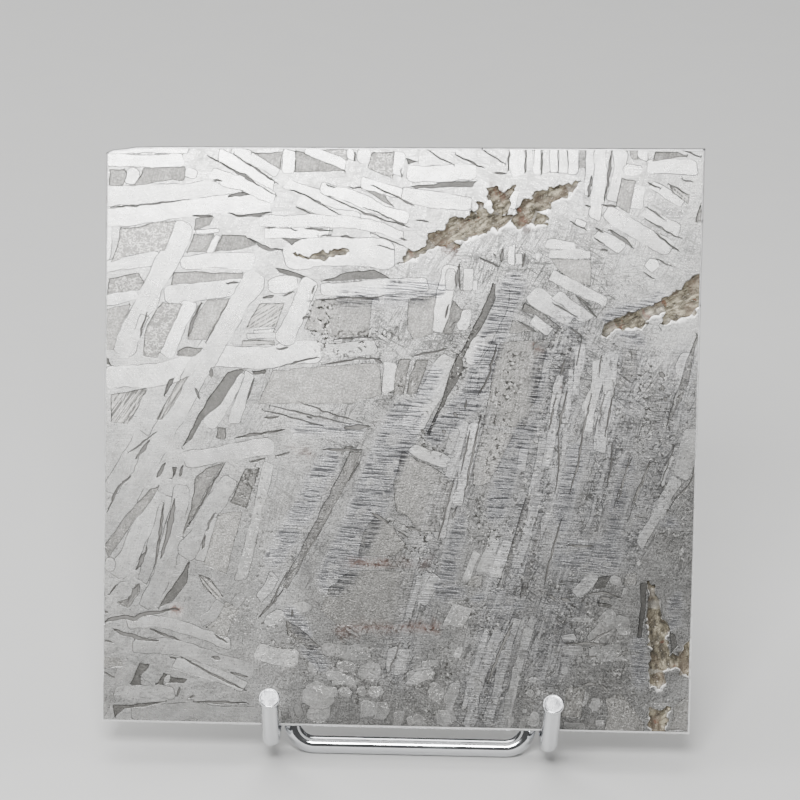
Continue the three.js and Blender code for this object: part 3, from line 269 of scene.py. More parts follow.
# Etched gaps and hairline seams: widest width, then u and v along the gap.
SLITS = [
    (0.34, -27.2, 76.8, -23, 74.6, -17.6, 71.5), (0.3, -23.6, 77.1, -17.4, 73.1),
    (0.34, -16, 72.4, -13.6, 71.6, -9, 69.1), (0.3, -15, 70.1, -12.8, 69.2), (0.3, -5, 73.3, 0.5, 70.9),
    (0.26, -11.5, 71.9, -4.8, 69.2, 0.5, 67.6), (0.3, -40, 69.5, -35, 70, -29.2, 70.8),
    (0.5, -24.2, 69.1, -22, 68.7, -18.2, 69.3), (0.5, -24.2, 71.3, -22, 71.7, -21.2, 71.6),
    (0.5, -21.4, 65.8, -18.8, 64.4, -16.6, 64.2), (0.5, -27.4, 56.9, -28.2, 55.3, -29.2, 52.2),
    (0.3, -34.8, 55.5, -35.7, 52), (0.36, -28.1, 45.4, -27.4, 43.8), (0.6, -25.9, 48.2, -25.9, 46.8),
    (0.6, -34, 38.2, -35.9, 35.6), (0.4, -36.4, 33.3, -38, 31.8, -39.6, 28.3),
    (0.8, -30.5, 30.4, -31, 27, -32.2, 22.2), (0.45, -31.9, 29.8, -32.7, 22.8, -33.2, 20.8),
    (0.7, -34.2, 23.1, -35.5, 20.6), (0.5, -26.2, 25.5, -26.7, 23.6), (0.8, -35.1, 18.6, -36.4, 16),
    (0.55, -38.5, 12.6, -35.2, 11.5, -32.2, 11.1), (0.4, -33.5, 12.7, -29.3, 11.2),
    (0.35, -29.3, 9.1, -25, 6.8, -20.2, 4.6), (0.35, -27.4, 3, -20, 3), (0.35, -24.8, 12.3, -23, 11),
    (0.5, 24.8, 75.2, 24.5, 72.3), (0.5, 27.5, 78.6, 27, 74.5, 26.6, 71.8), (0.4, 15.9, 78.6, 15.9, 75.4),
    (0.3, 18.1, 78.4, 18, 75.1), (0.6, 27.3, 68, 29.7, 66.3, 30.7, 65.5), (0.3, 33.4, 67.8, 36.9, 65.2),
    (0.3, 6.3, 77.7, 10.4, 75.8), (0.3, 19.9, 57.9, 23.3, 56.1), (0.4, 23.1, 58.9, 26, 56),
    (0.35, 12.5, 52.2, 11.4, 47.5, 10, 45), (0.35, 10.6, 42.6, 9.2, 35, 8.5, 30.8), (0.3, 7.2, 34, 6, 29, 5.2, 25.6),
    (0.3, 21.9, 29, 20.3, 23, 19.7, 19.6), (0.3, 28.6, 46.8, 27.4, 40), (0.3, 22.2, 46.4, 21, 40),
    (0.3, 20.7, 45.4, 19.8, 40.6), (0.5, -3.9, 29, -1.4, 27.7), (0.4, -10.8, 37.4, -5.2, 37.5),
    (0.7, -7.9, 40.4, -4.4, 40.7), (0.5, 15.6, 14.8, 13.4, 9.6, 12.3, 6.2), (0.3, -21.2, 77.4, -20, 77.1),
    (0.35, -26.2, 73.5, -25, 73.4), (0.25, -11, 73.2, -9.7, 72.8), (0.3, -8, 73, -6, 72.8),
    (0.2, -6, 70.3, -3, 69.2, 0.5, 67.6), (0.25, -0.9, 75.6, -0.8, 74.3), (0.3, -7.2, 77.6, -7.2, 76.4),
    (0.35, -29, 68.6, -26.2, 68.6), (0.25, -19.2, 67.1, -17.5, 67.3), (0.2, -16, 67.2, -14.7, 66.9),
    (0.3, -13.8, 67.2, -10, 67), (0.2, -12, 66.2, -10.1, 66.4), (0.35, -9, 66.3, -7, 66),
    (0.2, -21.5, 68.7, -19.3, 68.8), (0.2, -4, 65.2, -1.5, 64.6), (0.2, -4.9, 66.8, 0, 65),
    (0.35, -24.2, 59.5, -22.5, 59.7), (0.2, -23.6, 57.6, -25.3, 54.2), (0.2, -24.9, 55, -26.8, 51.5),
    (0.3, -34.6, 44.9, -35, 44.2), (0.2, -36.4, 41.4, -37, 40.7), (0.5, -19.3, 57.7, -17.7, 58),
    (0.3, -16.5, 58, -15.1, 58.7), (0.4, -17.2, 50.9, -15.6, 51.1), (0.4, -13.8, 55, -13, 55.3),
    (0.3, -12.6, 58.4, -12.2, 59.6), (0.25, -12, 57.6, -8.5, 57.9, -4, 58.1, -2.8, 58.4),
    (0.25, -9.5, 52.3, -4.2, 52.8), (0.3, -11.5, 49.9, -15, 49), (0.2, -17.7, 48.2, -12.8, 49.5),
    (0.3, -11, 48.8, -6.5, 49.7, -3, 49.9), (0.45, -3.9, 49.7, -2.8, 49.3), (0.3, -20.1, 46.8, -21, 43.9),
    (0.35, -18.7, 41.6, -16.7, 41.7), (0.4, -12.9, 41.8, -12.2, 41.6), (0.5, -22.6, 38.7, -19, 39.4, -15.8, 40),
    (0.22, -14.2, 43.8, -9.5, 42.3, -5.1, 41), (0.2, -19, 42.6, -14.5, 41.6, -10.5, 40.5),
    (0.2, -18, 43.2, -12, 42, -7, 40.9), (0.35, 5.9, 57.4, 5.5, 55.5), (0.4, 6.3, 54.2, 6.9, 55.1),
    (0.5, 6.9, 61.8, 6.9, 59.8), (0.35, 8.6, 44.6, 8.4, 43.3), (0.5, 17.4, 51.4, 18, 52.8),
    (0.25, 22.4, 54.6, 24, 53.6), (0.5, -31.8, 35.2, -33, 33.2), (0.4, -29.5, 34.9, -29.9, 33.3),
    (0.3, -23.8, 35.4, -25.5, 32.3, -28.6, 26.6), (0.3, -25, 28.6, -26.2, 26), (0.25, -34.1, 23.8, -34.3, 22.9),
    (0.2, -33, 39.4, -36.9, 36.4), (0.3, -38.1, 18.6, -39, 17.2), (0.25, -39.8, 15, -39.1, 14.8),
    (0.3, -30.7, 8.9, -29.8, 8.8), (0.45, -25.1, 9.1, -23.8, 8.8), (0.35, -22.5, 7.1, -20, 6.5),
    (0.2, -39.7, 6.8, -38, 6), (0.2, -39.8, 11, -38.3, 10.7), (0.3, -29.2, 5, -29.6, 3.6),
    (0.35, -28, 3.5, -27.2, 3.9), (0.35, -20.5, 35.5, -18.4, 36), (0.25, -17, 36.4, -15, 37),
    (0.3, -19.2, 34.7, -19.4, 33.5), (0.25, -5.6, 35.8, -7.1, 33.2), (0.25, -10.5, 26.7, -13.2, 22.3),
    (0.25, -13.5, 21.8, -15.1, 20), (0.4, -7.8, 37.8, -6.5, 37.8), (0.3, -0.4, 26.7, 1.2, 25.8),
    (0.3, 0.8, 27.3, 3, 26.5), (0.25, 9.2, 40.5, 8, 34.5), (0.25, 21.1, 40.5, 21.3, 36, 20.8, 32),
    (0.25, 39.9, 39, 39.3, 34.5, 37.3, 32, 36.3, 30.5), (0.25, 31.7, 29.5, 32.7, 29.1), (0.2, 31, 38, 29.3, 31),
    (0.2, 36.8, 39, 35, 33.5), (0.2, 33.6, 37, 30.7, 28.5), (0.25, 21.8, 50.5, 21.2, 48), (0.2, 24, 53.5, 23.4, 49.5),
    (0.25, 25, 43.3, 24.3, 40), (0.22, 26.7, 51, 26.4, 48), (0.22, 27.2, 45.9, 26.6, 43), (0.2, 29, 48.6, 31, 47.3),
    (0.3, 26.2, 71.3, 28.2, 71.1), (0.2, 36.8, 79, 39.5, 78), (0.25, 32.4, 74.5, 34.2, 73.6),
    (0.2, 35.2, 74.4, 37.9, 72.9), (0.2, 37, 75, 38.6, 74.6), (0.22, 32.2, 71.2, 35, 69.3),
    (0.2, 32.1, 69.6, 35, 67.9, 37.3, 66.9), (0.3, 25.4, 68.2, 26.6, 67.5), (0.3, 22, 69, 24.4, 67.8),
    (0.3, 24, 71.2, 24.8, 70.9), (0.3, 25.3, 66.8, 26.8, 66), (0.3, 26.2, 65.2, 27.2, 65.1),
    (0.25, 32.1, 62.3, 33.7, 61.5), (0.2, 33.8, 64.2, 36, 63.2), (0.25, 2.5, 78.3, 4.6, 77, 6.3, 76.2),
    (0.2, 9.8, 78.5, 13.2, 76.5), (0.22, 13.6, 78.8, 13.6, 75.6), (0.3, 11.6, 75.3, 13.3, 75.2),
    (0.3, -0.9, 71.5, 1, 70.6), (0.25, 1.2, 68.7, 3, 68.5), (0.3, -0.9, 66.2, 0.1, 65.9),
    (0.5, 13.1, 65.2, 12.9, 63.2), (0.3, 11.8, 64.4, 12.1, 64), (0.3, 16.1, 64.6, 15.7, 62.5),
    (0.3, 9.9, 63.8, 12.6, 62.6), (0.4, 7.3, 63, 6.9, 60.5), (0.3, 7.2, 61.5, 7.4, 59.5),
    (0.3, -14.3, 15.8, -14.4, 14.8), (0.35, -15.5, 18.5, -17, 16.5, -19, 14.3), (0.2, -15, 21, -17.5, 16),
    (0.22, 0.5, 12, -1, 7.5), (0.4, 22.5, 12, 28.5, 12), (0.3, 25.4, 10.3, 27, 10.2), (0.3, 26, 12.3, 29, 14),
    (0.3, 24.4, 41, 23.9, 36.5, 22.8, 32), (0.2, 28.4, 39.3, 28.3, 36.2, 27.8, 33.1),
    (0.2, 31.2, 37.3, 30.1, 34.6, 28.8, 30.4), (0.25, 33.8, 36.9, 32.3, 33.6, 31.2, 30.6),
    (0.25, 25.5, 45.8, 25, 43.3, 24.4, 40.2), (0.2, 27.2, 45.6, 26.5, 41.6), (0.25, 23.2, 58.9, 25.1, 57.6),
    (0.35, 7.5, 30, 7.1, 28.4), (0.25, 15.3, 55.4, 17.8, 53.9), (0.25, 1.1, 50.2, 2.8, 50.6, 5.9, 51.4),
    (0.4, 22.5, 25.2, 26.2, 25.2), (0.4, 25.1, 18.7, 27.8, 18.9, 29.9, 18.3), (0.5, 27.2, 18.2, 28.8, 18.1),
    (0.5, 20.2, 18.4, 21.3, 17.9), (0.4, 21.9, 18.1, 23.3, 17.7), (0.4, 29.9, 10.3, 31.2, 11.3),
    (0.5, 25, 6.4, 27, 6.6), (0.5, 27.3, 6.6, 28.8, 5.6), (0.7, 34.6, 48.9, 35.2, 48.1),
    (0.7, 34.8, 47.2, 35.2, 46.4), (0.6, 35.3, 45.6, 35.7, 45), (0.6, 6.9, 42.8, 7.5, 42.2),
    (0.6, 2.5, 40.4, 3.1, 40), (0.6, 5.4, 40.4, 6, 40),
]

# Granular sulphide and phosphide inclusions, as corners in u and v.
INCLUSIONS = [
    (-15.3, 63.8, -14.8, 63.3, -14, 63.6, -12, 63.9, -10, 64.3, -8.3, 64.7, -7.6, 64.2, -8.5, 63.7, -10, 63.4, -11.5,
     63, -13.5, 63.2),
    (-1, 62.7, 0, 63.9, 0.4, 64.8, 1.5, 64.6, 2.7, 65.2, 2.9, 66.2, 3.6, 67.1, 4.7, 67.3, 5.2, 68.2, 5.7, 69, 7, 69.1,
     7.8, 69, 8.2, 69.4, 9.4, 69.7, 9.6, 70.6, 9.2, 71.3, 10.4, 71.2, 10.9, 70.1, 11.7, 70.2, 11.4, 71.3, 10.8, 71.8,
     10.9, 72.7, 10.6, 73.3, 12.2, 73.5, 12.4, 72.9, 13.5, 73.1, 14.7, 73.8, 14.5, 72.9, 14, 71.3, 13.7, 69.9, 12.9,
     69.6, 14.4, 69.6, 13.9, 68.8, 13.3, 68.2, 12.8, 67.9, 11.4, 67.7, 10.9, 67, 9.5, 66.8, 8.5, 66.5, 7.4, 66.1, 6.5,
     65.9, 7.7, 65.6, 7.1, 64.9, 6.4, 64.4, 5.7, 64.9, 4.6, 65.1, 3.5, 64.8, 2.5, 64.1, 1.5, 63.6, 0.5, 63.2),
    (14, 68.7, 14.2, 69.3, 14.9, 69.9, 15.3, 70.9, 15.8, 71.9, 16.7, 71.8, 17, 72.5, 18, 73, 20, 73.6, 21.5, 74.1,
     23.3, 74.5, 22.7, 73.4, 21.8, 72.5, 20.9, 72.1, 20.1, 71.7, 19.5, 71.4, 19.5, 70.7, 18.8, 70.4, 17.4, 70.2, 18.8,
     69.8, 19.2, 69.1, 19.1, 68.3, 18, 68.4, 16.2, 68.4, 15.5, 67.8, 14.7, 68.1),
    (26.6, 53.7, 26.9, 55.1, 28.3, 56, 29.5, 56.4, 31.2, 57, 32.4, 57.6, 34, 58.2, 35, 59, 36.4, 59.8, 37.6, 60.7,
     38.6, 61.8, 40.8, 62.8, 40.8, 58.2, 39.6, 57.7, 39.1, 56.5, 37.9, 56.3, 36.9, 55.9, 35.6, 55.4, 34.3, 55.2, 34.9,
     55.9, 35.2, 57, 34.4, 56.5, 33.2, 56.2, 32.9, 55.3, 32, 54.6, 31.2, 54.9, 30, 54.7, 28.8, 54.6, 27.9, 54.1, 27.3,
     53.3),
    (33.4, 20.6, 34.6, 20.2, 34.9, 18.6, 35.4, 17.2, 35.6, 15.6, 36.4, 15.2, 36.6, 13.5, 36.5, 12, 36.8, 10.6, 38,
     11.2, 38.6, 12, 39.6, 12.9, 40.8, 13, 40.8, 7.4, 39.2, 7.9, 38.2, 8.8, 37.2, 8.9, 36.4, 8.7, 36.2, 7.8, 36.4,
     6.9, 35.6, 6.1, 34.2, 6.2, 34, 8.8, 34.3, 10.2, 33.9, 13.5, 33.7, 15.5, 33.9, 18.8),
    (34.1, 3.6, 35.5, 3.2, 37.1, 3.7, 36.7, 1.5, 36.3, -0.8, 34.3, -0.8),
]

# The crack that runs in from the left edge: widest width, then u and v along it.
CRACK = (0.6, -40.6, 13.1, -39.9, 13.3, -38.9, 13.8, -37.7, 14.1, -36.7, 14.2, -35.5, 14.1, -34.3, 14.7,
         -32.5, 15, -31, 15.3, -30, 15.5, -29.5, 15.2)


class Kind(IntEnum):
    """What a patch of the slice's face is made of; the value is also its material slot."""

    IRON = 0
    PLAIN = 1
    COMB = 2
    NET = 3
    DARK = 4
    SLIT = 5
    INCLUSION = 6
    EDGE = 7


class Wear(Enum):
    """Soft marks that lie over the pattern; the value names the attribute that carries them."""

    SCRATCHED = "scratched"
    PITTED = "pitted"
    RUSTED = "rusted"
    STREAKED = "streaked"
    # Painted shade, with some dulling of the metal: broad zones darkened, mostly over the middle and the lower right.
    DULLED = "dulled"


# Soft marks: width and strength, then u and v along the middle.
WEAR: dict[Wear, list[tuple[float, ...]]] = {
    Wear.SCRATCHED: [
        (6, 1, 0.5, 42, -2.5, 35, -5, 28, -8.5, 20), (3.6, 0.9, -9.6, 36.4, -13, 29.6, -16.8, 22.6),
        (4.2, 0.9, 14.6, 60.5, 11.6, 52, 9.6, 45, 4.5, 40), (3.6, 1, 17, 41, 14.2, 35, 12.8, 29.5),
        (2.6, 0.9, -1.4, 59.7, 4.7, 59.3), (2.6, 0.8, 4.4, 48.5, 2.4, 44.5), (3, 0.7, 29.8, 53.4, 31.8, 53),
        (7, 0.6, 22.5, 24, 28, 23.6), (4, 0.7, 23.6, 38, 21.5, 28), (3.4, 0.7, 8, 28, 6, 18),
        (4, 0.6, 30.5, 36, 28.5, 26), (4, 0.6, -8, 58, 2, 58.5), (3, 0.6, -14, 40.5, -6, 40),
        (2.2, 0.8, 27.5, 56.2, 31, 57.6, 34.5, 58.8), (1.6, 0.9, 5, 19.4, 8, 18.6, 11.5, 17.6),
        (2, 0.8, 14, 17, 16.8, 17.2), (3, 0.7, 32.5, 12, 33, 7), (2.4, 0.7, 37.4, 18.6, 37.2, 14.8),
        (2.5, 0.7, 36, 28.5, 36.8, 28.5), (3, 0.7, 18.8, 50.6, 18, 45), (2.4, 0.9, -14.6, 15.4, -12.4, 12.6),
        (2.6, 0.9, -12, 10.6, -10.2, 8.4),
    ],
    Wear.PITTED: [
        (6, 0.8, -11.5, 56, -10.5, 52), (7, 0.9, 0.5, 44.5, 4.5, 39), (7, 0.9, 10, 29, 13.5, 26),
        (9, 0.7, 32.5, 49, 34.5, 39), (7, 0.6, 36, 33, 37.5, 24), (4, 0.8, -9, 51, -2, 53), (8, 0.7, 2, 24, 12, 14),
        (9, 0.7, 24, 16, 31, 8), (5, 0.7, 8.5, 53, 7.5, 47), (1.4, 0.9, 14.2, 36.8, 14, 30.2),
        (1.2, 0.8, 32.7, 33, 32.5, 30.6), (1.2, 0.8, 36.4, 29.3, 36.4, 26.8), (1.8, 1, -4, 10.6, -1.8, 9.4),
        (1.2, 1, 2.6, 11.6, 2.7, 9), (2.6, 1, 6.4, 11.2, 7.2, 7.6), (1.4, 0.9, -5.3, 4.6, -5, 2.8),
        (2.2, 0.9, 3.1, 2.8, 4.9, 1.8), (8, 0.6, -20, 14, -10, 8, 4, 5), (1.6, 1, -3.2, 29, 0, 27.6, 3.8, 25.4),
        (1.4, 1, -8, 13.2, -2, 13.3, 5, 13.8), (1.5, 1, -6.6, 22.3, -1, 22.3, 5, 22.8),
        (1.4, 0.9, -7.5, 21, -9.8, 18.4, -11.2, 15.8), (9, 0.6, 4, 6, 18, 6, 34, 4), (6, 0.6, -20, 34, -18, 20),
        (5, 0.7, 14.5, 50, 12, 36),
    ],
    Wear.RUSTED: [
        (1.5, 0.9, -6.4, 22.3, -3.6, 22.2, -1.4, 22.4), (1.2, 0.4, -1, 22.3, 4.5, 22.6),
        (1.1, 0.9, -8, 13.3, 0, 13.5, 5, 13.6), (0.8, 1, 20.9, 46.6, 21.1, 46.5), (0.7, 0.9, 23.2, 43.5, 23.4, 43.4),
        (0.8, 0.9, 17.6, 52.2, 17.8, 51.8), (1.4, 1, -30.2, 15.5, -29.3, 15.2), (0.9, 0.6, -14.5, 37.4, -12.8, 36.9),
        (1.6, 1, 5.4, 65.4, 6.5, 65), (1.2, 0.9, 15.6, 69.4, 16, 68.4), (1.4, 0.9, 11.6, 73, 12.6, 72.4),
    ],
    Wear.STREAKED: [
        (9, 0.9, 22, 54, 20, 40, 16.5, 26, 13, 10, 11, 0), (9, 0.8, 30, 50, 27.5, 36, 24, 24, 20, 10),
        (7, 0.7, 38, 50, 34, 34, 30, 24), (7, 0.7, 10, 42, 6, 30, 2.5, 18, 0, 8), (5, 0.5, -8, 38, -13, 26, -17, 18),
        (4, 0.35, 24, 78, 24, 72),
    ],
    # Painted shade with some dulling of the metal: broad soft zones that darken the face, mostly over the middle and
    # the lower right.
    Wear.DULLED: [
        (40, 0.7, 18, 52, 2, 24, -2, 0), (40, 0.8, 36, 32, 24, 12, 14, -6), (20, 0.5, -4, 56, -4, 44, -10, 26),
        (20, 0.25, 8, 62, 36, 66), (24, 0.3, -20, 44, -20, 26, -16, 10),
    ],
}


@dataclass(frozen=True)
class Crop:
    """An enlarged piece of the photograph, off which places on the slice were read.

    Attributes:
        scale: How many of its pixels make one of the photograph's.
        left: Its left edge in the photograph.
        top: Its upper edge in the photograph.
    """

    scale: float
    left: float
    top: float

    def outline(self, *flat: float) -> tuple[float, ...]:
        """Turns places in the crop into places on the slice, to a tenth of a millimetre.

        Args:
            flat: x and y in turn.

        Returns:
            u and v in turn.
        """
        places = []
        for x, y in zip(flat[::2], flat[1::2]):
            right = self.left + x / self.scale - EDGE_PIXEL[0]
            down = self.top + y / self.scale - EDGE_PIXEL[1]
            along = right * math.cos(PHOTO_ROLL) + down * math.sin(PHOTO_ROLL)
            up = right * math.sin(PHOTO_ROLL) - down * math.cos(PHOTO_ROLL)
            places += [round(MM_PER_PIXEL * along, 1), round(MM_PER_PIXEL * up, 1)]
        return tuple(places)

    def band(self, width: float, *flat: float) -> tuple[float, ...]:
        """Turns a width and the places along a middle into a row like those of BANDS.

        Args:
            width: The width in the crop.
            flat: x and y in turn.

        Returns:
            The width, then u and v in turn.
        """
        return (round(MM_PER_PIXEL * width / self.scale, 1), *self.outline(*flat))


LOWER_MIDDLE = Crop(4.02, 230, 560)
LOWER_RIGHT = Crop(7.127, 420, 600)
BOTTOM = Crop(4.0, 280, 540)


def points_of(flat: tuple[float, ...]) -> np.ndarray:
    """Pairs up a flat row of numbers, u and v in turn, to points, one to a row."""
    return np.array(flat, float).reshape(-1, 2)


def lengths(path: np.ndarray) -> np.ndarray:
    """Measures how far along a line each of its points lies."""
    steps = np.linalg.norm(np.diff(path, axis=0), axis=1)
    return np.concatenate([[0.0], np.cumsum(steps)])


def resampled(path: np.ndarray, spacing: float) -> np.ndarray:
    """Spaces points evenly along a line, and keeps its two ends.

    Args:
        path: The line's points.
        spacing: The wanted distance from point to point.

    Returns:
        The new points.
    """
    along = lengths(path)
    count = max(int(round(along[-1] / spacing)), 1) + 1
    at = np.linspace(0.0, along[-1], count)
    return np.column_stack([np.interp(at, along, path[:, k]) for k in range(path.shape[1])])


def smoothed(path: np.ndarray, spacing: float) -> np.ndarray:
    """Runs an even smooth line through the given points.

    Args:
        path: The points that the line passes through.
        spacing: The wanted distance from point to point.

    Returns:
        The points of the smooth line.
    """
    if len(path) == 2:
        return resampled(path, spacing)
    padded = np.vstack([2 * path[0] - path[1], path, 2 * path[-1] - path[-2]])
    share = np.linspace(0.0, 1.0, 9)[:-1, None]
    parts = []
    for before, start, end, after in zip(padded, padded[1:], padded[2:], padded[3:]):
        square = (2 * before - 5 * start + 4 * end - after) * share**2
        cube = (3 * start - before - 3 * end + after) * share**3
        parts.append(0.5 * (2 * start + (end - before) * share + square + cube))
    return resampled(np.vstack([*parts, path[-1:]]), spacing)


def sideways(path: np.ndarray) -> np.ndarray:
    """Finds the direction to the left of a line at each of its points.

    Args:
        path: The line's points.

    Returns:
        One unit direction to a point.
    """
    along = np.gradient(path, axis=0)
    along /= np.maximum(np.linalg.norm(along, axis=1, keepdims=True), 1e-9)
    return np.column_stack([-along[:, 1], along[:, 0]])


def wander(count: int, stride: float, size: float, rng: np.random.Generator) -> np.ndarray:
    """Makes a smooth random run of numbers.

    Args:
        count: How many numbers.
        stride: How many steps there are from one free value to the next.
        size: The usual size of the numbers.
        rng: The source of chance.

    Returns:
        The numbers.
    """
    knots = rng.normal(0.0, size, int(count / stride) + 4)
    at = np.arange(count) / stride + rng.uniform(0.0, 1.0)
    low = at.astype(int)
    share = at - low
    share = share * share * (3 - 2 * share)
    return knots[low] * (1 - share) + knots[low + 1] * share


def inside(points: np.ndarray, outline: np.ndarray) -> np.ndarray:
    """Tests which points an outline runs round, looking only at those near it, a few thousand at a time.

    Args:
        points: The points to test.
        outline: The outline's corners, in either direction.

    Returns:
        True for each point inside.
    """
    start, end = outline, np.roll(outline, -1, axis=0)
    near = np.nonzero(((points > outline.min(axis=0)) & (points < outline.max(axis=0))).all(axis=1))[0]
    found = np.zeros(len(points), bool)
    for part in np.array_split(near, max(len(near) // 4000, 1)):
        x, y = points[part, :1], points[part, 1:]
        side = (end[:, 0] - start[:, 0]) * (y - start[:, 1]) - (x - start[:, 0]) * (end[:, 1] - start[:, 1])
        up = (start[:, 1] <= y) & (end[:, 1] > y) & (side > 0)
        down = (start[:, 1] > y) & (end[:, 1] <= y) & (side < 0)
        found[part] = up.sum(axis=1) != down.sum(axis=1)
    return found


@dataclass
class Region:
    """One patch of the pattern, cut out of whatever lies under it.

    Attributes:
        outline: Its edge, u and v.
        kind: What it is made of.
        tone: How bright it is, 1 for the usual iron.
        depth: How far its middle lies under the face, in mm.
        slant: The direction of its grain, in radians from u.
        busy: How much line-work crosses it, from 0 to 1.
        spine: The points of its middle line, where it is narrow.
    """

    outline: np.ndarray
    kind: Kind
    tone: float
    depth: float
    slant: float
    busy: float = 0.0
    spine: np.ndarray | None = None


@dataclass
class Pattern:
    """The whole crossed-band pattern of one face.

    Attributes:
        spacing: The distance between an edge's points, in mm.
        seed: What the small irregularities start from.
        shift: How far the pattern is moved, u and v.
        relief: How much of the full depth the etch has here.
    """

    spacing: float
    seed: int
    shift: tuple[float, float] = (0.0, 0.0)
    relief: float = 1.0
    rng: np.random.Generator = field(init=False)

    # The patches in the order in which they are laid: rows, kind, brightness, and depth in mm.
    BAND_ROWS = (
        (BANDS, 1.0),
        ([LOWER_MIDDLE.band(*row) for row in MIDDLE_PLATES], 1.0),
        ([LOWER_RIGHT.band(*row) for row in RIGHT_PLATES], 1.0),
        (DULL_BANDS, 0.86),
        ([LOWER_MIDDLE.band(*row) for row in DULL_MIDDLE_PLATES], 0.86),
        ([LOWER_RIGHT.band(*row) for row in DULL_RIGHT_PLATES], 0.86),
        (BRIGHT_BANDS, 1.2),
    )
    WINDOW_ROWS = (
        ([BOTTOM.outline(*row) for row in ANGULAR_PLATES], Kind.IRON, 1.15, 0.0),
        (PLAIN_FIELDS, Kind.PLAIN, 1.0, 0.028),
        (SHADED_FIELDS, Kind.PLAIN, 0.74, 0.045),
        (COMB_FIELDS, Kind.COMB, 1.0, 0.055),
        (NET_FIELDS, Kind.NET, 1.0, 0.055),
        (DARK_FIELDS, Kind.DARK, 1.0, 0.08),
    )
    INCLUSION_DEPTH = 0.34
    SLIT_DEPTH = 0.16
    BAND_WAVER = 0.08
    FIELD_WAVER = 0.07
    JAGGED_WAVER = 0.22
    TONE_SPREAD = 0.08
    LEVEL_SPREAD = 0.005
    SHORT_BAND = 5.0
    # The widths from which to which a band's ends turn from slanting to square.
    TIP_WIDTHS = (1.3, 2.3)

    def __post_init__(self) -> None:
        """Starts the source of chance."""
        self.rng = np.random.default_rng(self.seed)

    def middle(self, flat: list[float], spacing: float) -> np.ndarray:
        """Runs a smooth line through the given points, with at least five points of its own."""
        path = smoothed(points_of(flat), spacing)
        return path if len(path) >= 5 else resampled(path, np.linalg.norm(path[-1] - path[0]) / 4)

    def band(self, row: tuple[float, ...], tone: float) -> Region:
        """Makes a band with nearly straight sides and blunt ends.

        Args:
            row: Width, then u and v along the middle.
            tone: How bright it is.

        Returns:
            The band.
        """
        width, *flat = row
        path = self.middle(flat, self.spacing)
        along = lengths(path)
        outward = sideways(path)
        left = self.side(path, outward, along, width)
        right = self.side(path, -outward, along, width)
        outline = resampled(np.vstack([left, right[::-1], left[:1]]), self.spacing)[:-1]
        run = path[-1] - path[0]
        level = self.rng.normal(0.0, self.LEVEL_SPREAD)
        varied = self.TONE_SPREAD * (1.5 if along[-1] < self.SHORT_BAND else 1.0)
        return Region(
            outline + self.shift,
            Kind.IRON,
            tone + self.rng.normal(0.0, varied),
            level * self.relief,
            math.atan2(run[1], run[0]) + self.rng.normal(0.0, 0.5),
            self.rng.uniform(0.0, 0.5),
        )

    def side(self, path: np.ndarray, outward: np.ndarray, along: np.ndarray, width: float) -> np.ndarray:
        """Makes one side of a band, which ends a little short of the band's middle line.

        Args:
            path: The band's middle line.
            outward: The direction towards this side at each of its points.
            along: How far along the band each of them is.
            width: The band's width.

        Returns:
            The side's points.
        """
        slanting = np.interp(width, self.TIP_WIDTHS, (0.55, 0.15))
        short = self.rng.uniform(0.0, min(slanting * width, 0.14 * along[-1]), 2)
        past = np.minimum(along - short[0], along[-1] - short[1] - along)
        rounding = np.interp(width, self.TIP_WIDTHS, (0.28, 0.5)) * width
        blunt = 0.3
        if along[-1] < 2.4 * width:
            rounding = 0.5 * along[-1] - short.mean()
            blunt = 0.08
        corner = np.clip(past / rounding, 0.0, 1.0)
        half = 0.5 * width * (blunt + (1 - blunt) * np.sqrt(1 - (1 - corner) ** 2))
        half = half + self.waver(len(path), min(width, 1.8)) * corner
        return (path + outward * half[:, None])[past >= 0]

    def waver(self, count: int, width: float) -> np.ndarray:
        """Says how far each point of a band's side is moved outwards, in long swells and short nicks."""
        swells = wander(count, 2.4 / self.spacing, self.BAND_WAVER * width, self.rng)
        return swells + wander(count, 0.6 / self.spacing, 0.35 * self.BAND_WAVER * width, self.rng)

    def field(self, flat: tuple[float, ...], kind: Kind, tone: float, depth: float) -> Region:
        """Makes a window of fine-grained metal with sharp corners and slightly wavy sides.

        Args:
            flat: Its corners, u and v.
            kind: What it is made of.
            tone: How bright it is.
            depth: How far it is etched down, in mm.

        Returns:
            The window.
        """
        corners = points_of(flat)
        parts = []
        for start, end in zip(corners, np.roll(corners, -1, axis=0)):
            side = resampled(np.array([start, end]), self.spacing)[:-1]
            if len(side) > 2:
                share = np.arange(len(side)) / len(side)
                lean = np.array([-(end - start)[1], (end - start)[0]]) / np.linalg.norm(end - start)
                size = self.JAGGED_WAVER if kind is Kind.INCLUSION else self.FIELD_WAVER
                waver = wander(len(side), (0.5 if kind is Kind.INCLUSION else 1.2) / self.spacing, size, self.rng)
                side = side + lean * (waver * np.sin(math.pi * share) ** 0.5)[:, None]
            parts.append(side)
        spread = np.linalg.eigh(np.cov(corners.T))[1][:, -1]
        return Region(
            np.vstack(parts) + self.shift,
            kind,
            tone + self.rng.normal(0.0, self.TONE_SPREAD),
            depth * self.relief,
            math.atan2(spread[1], spread[0]),
        )

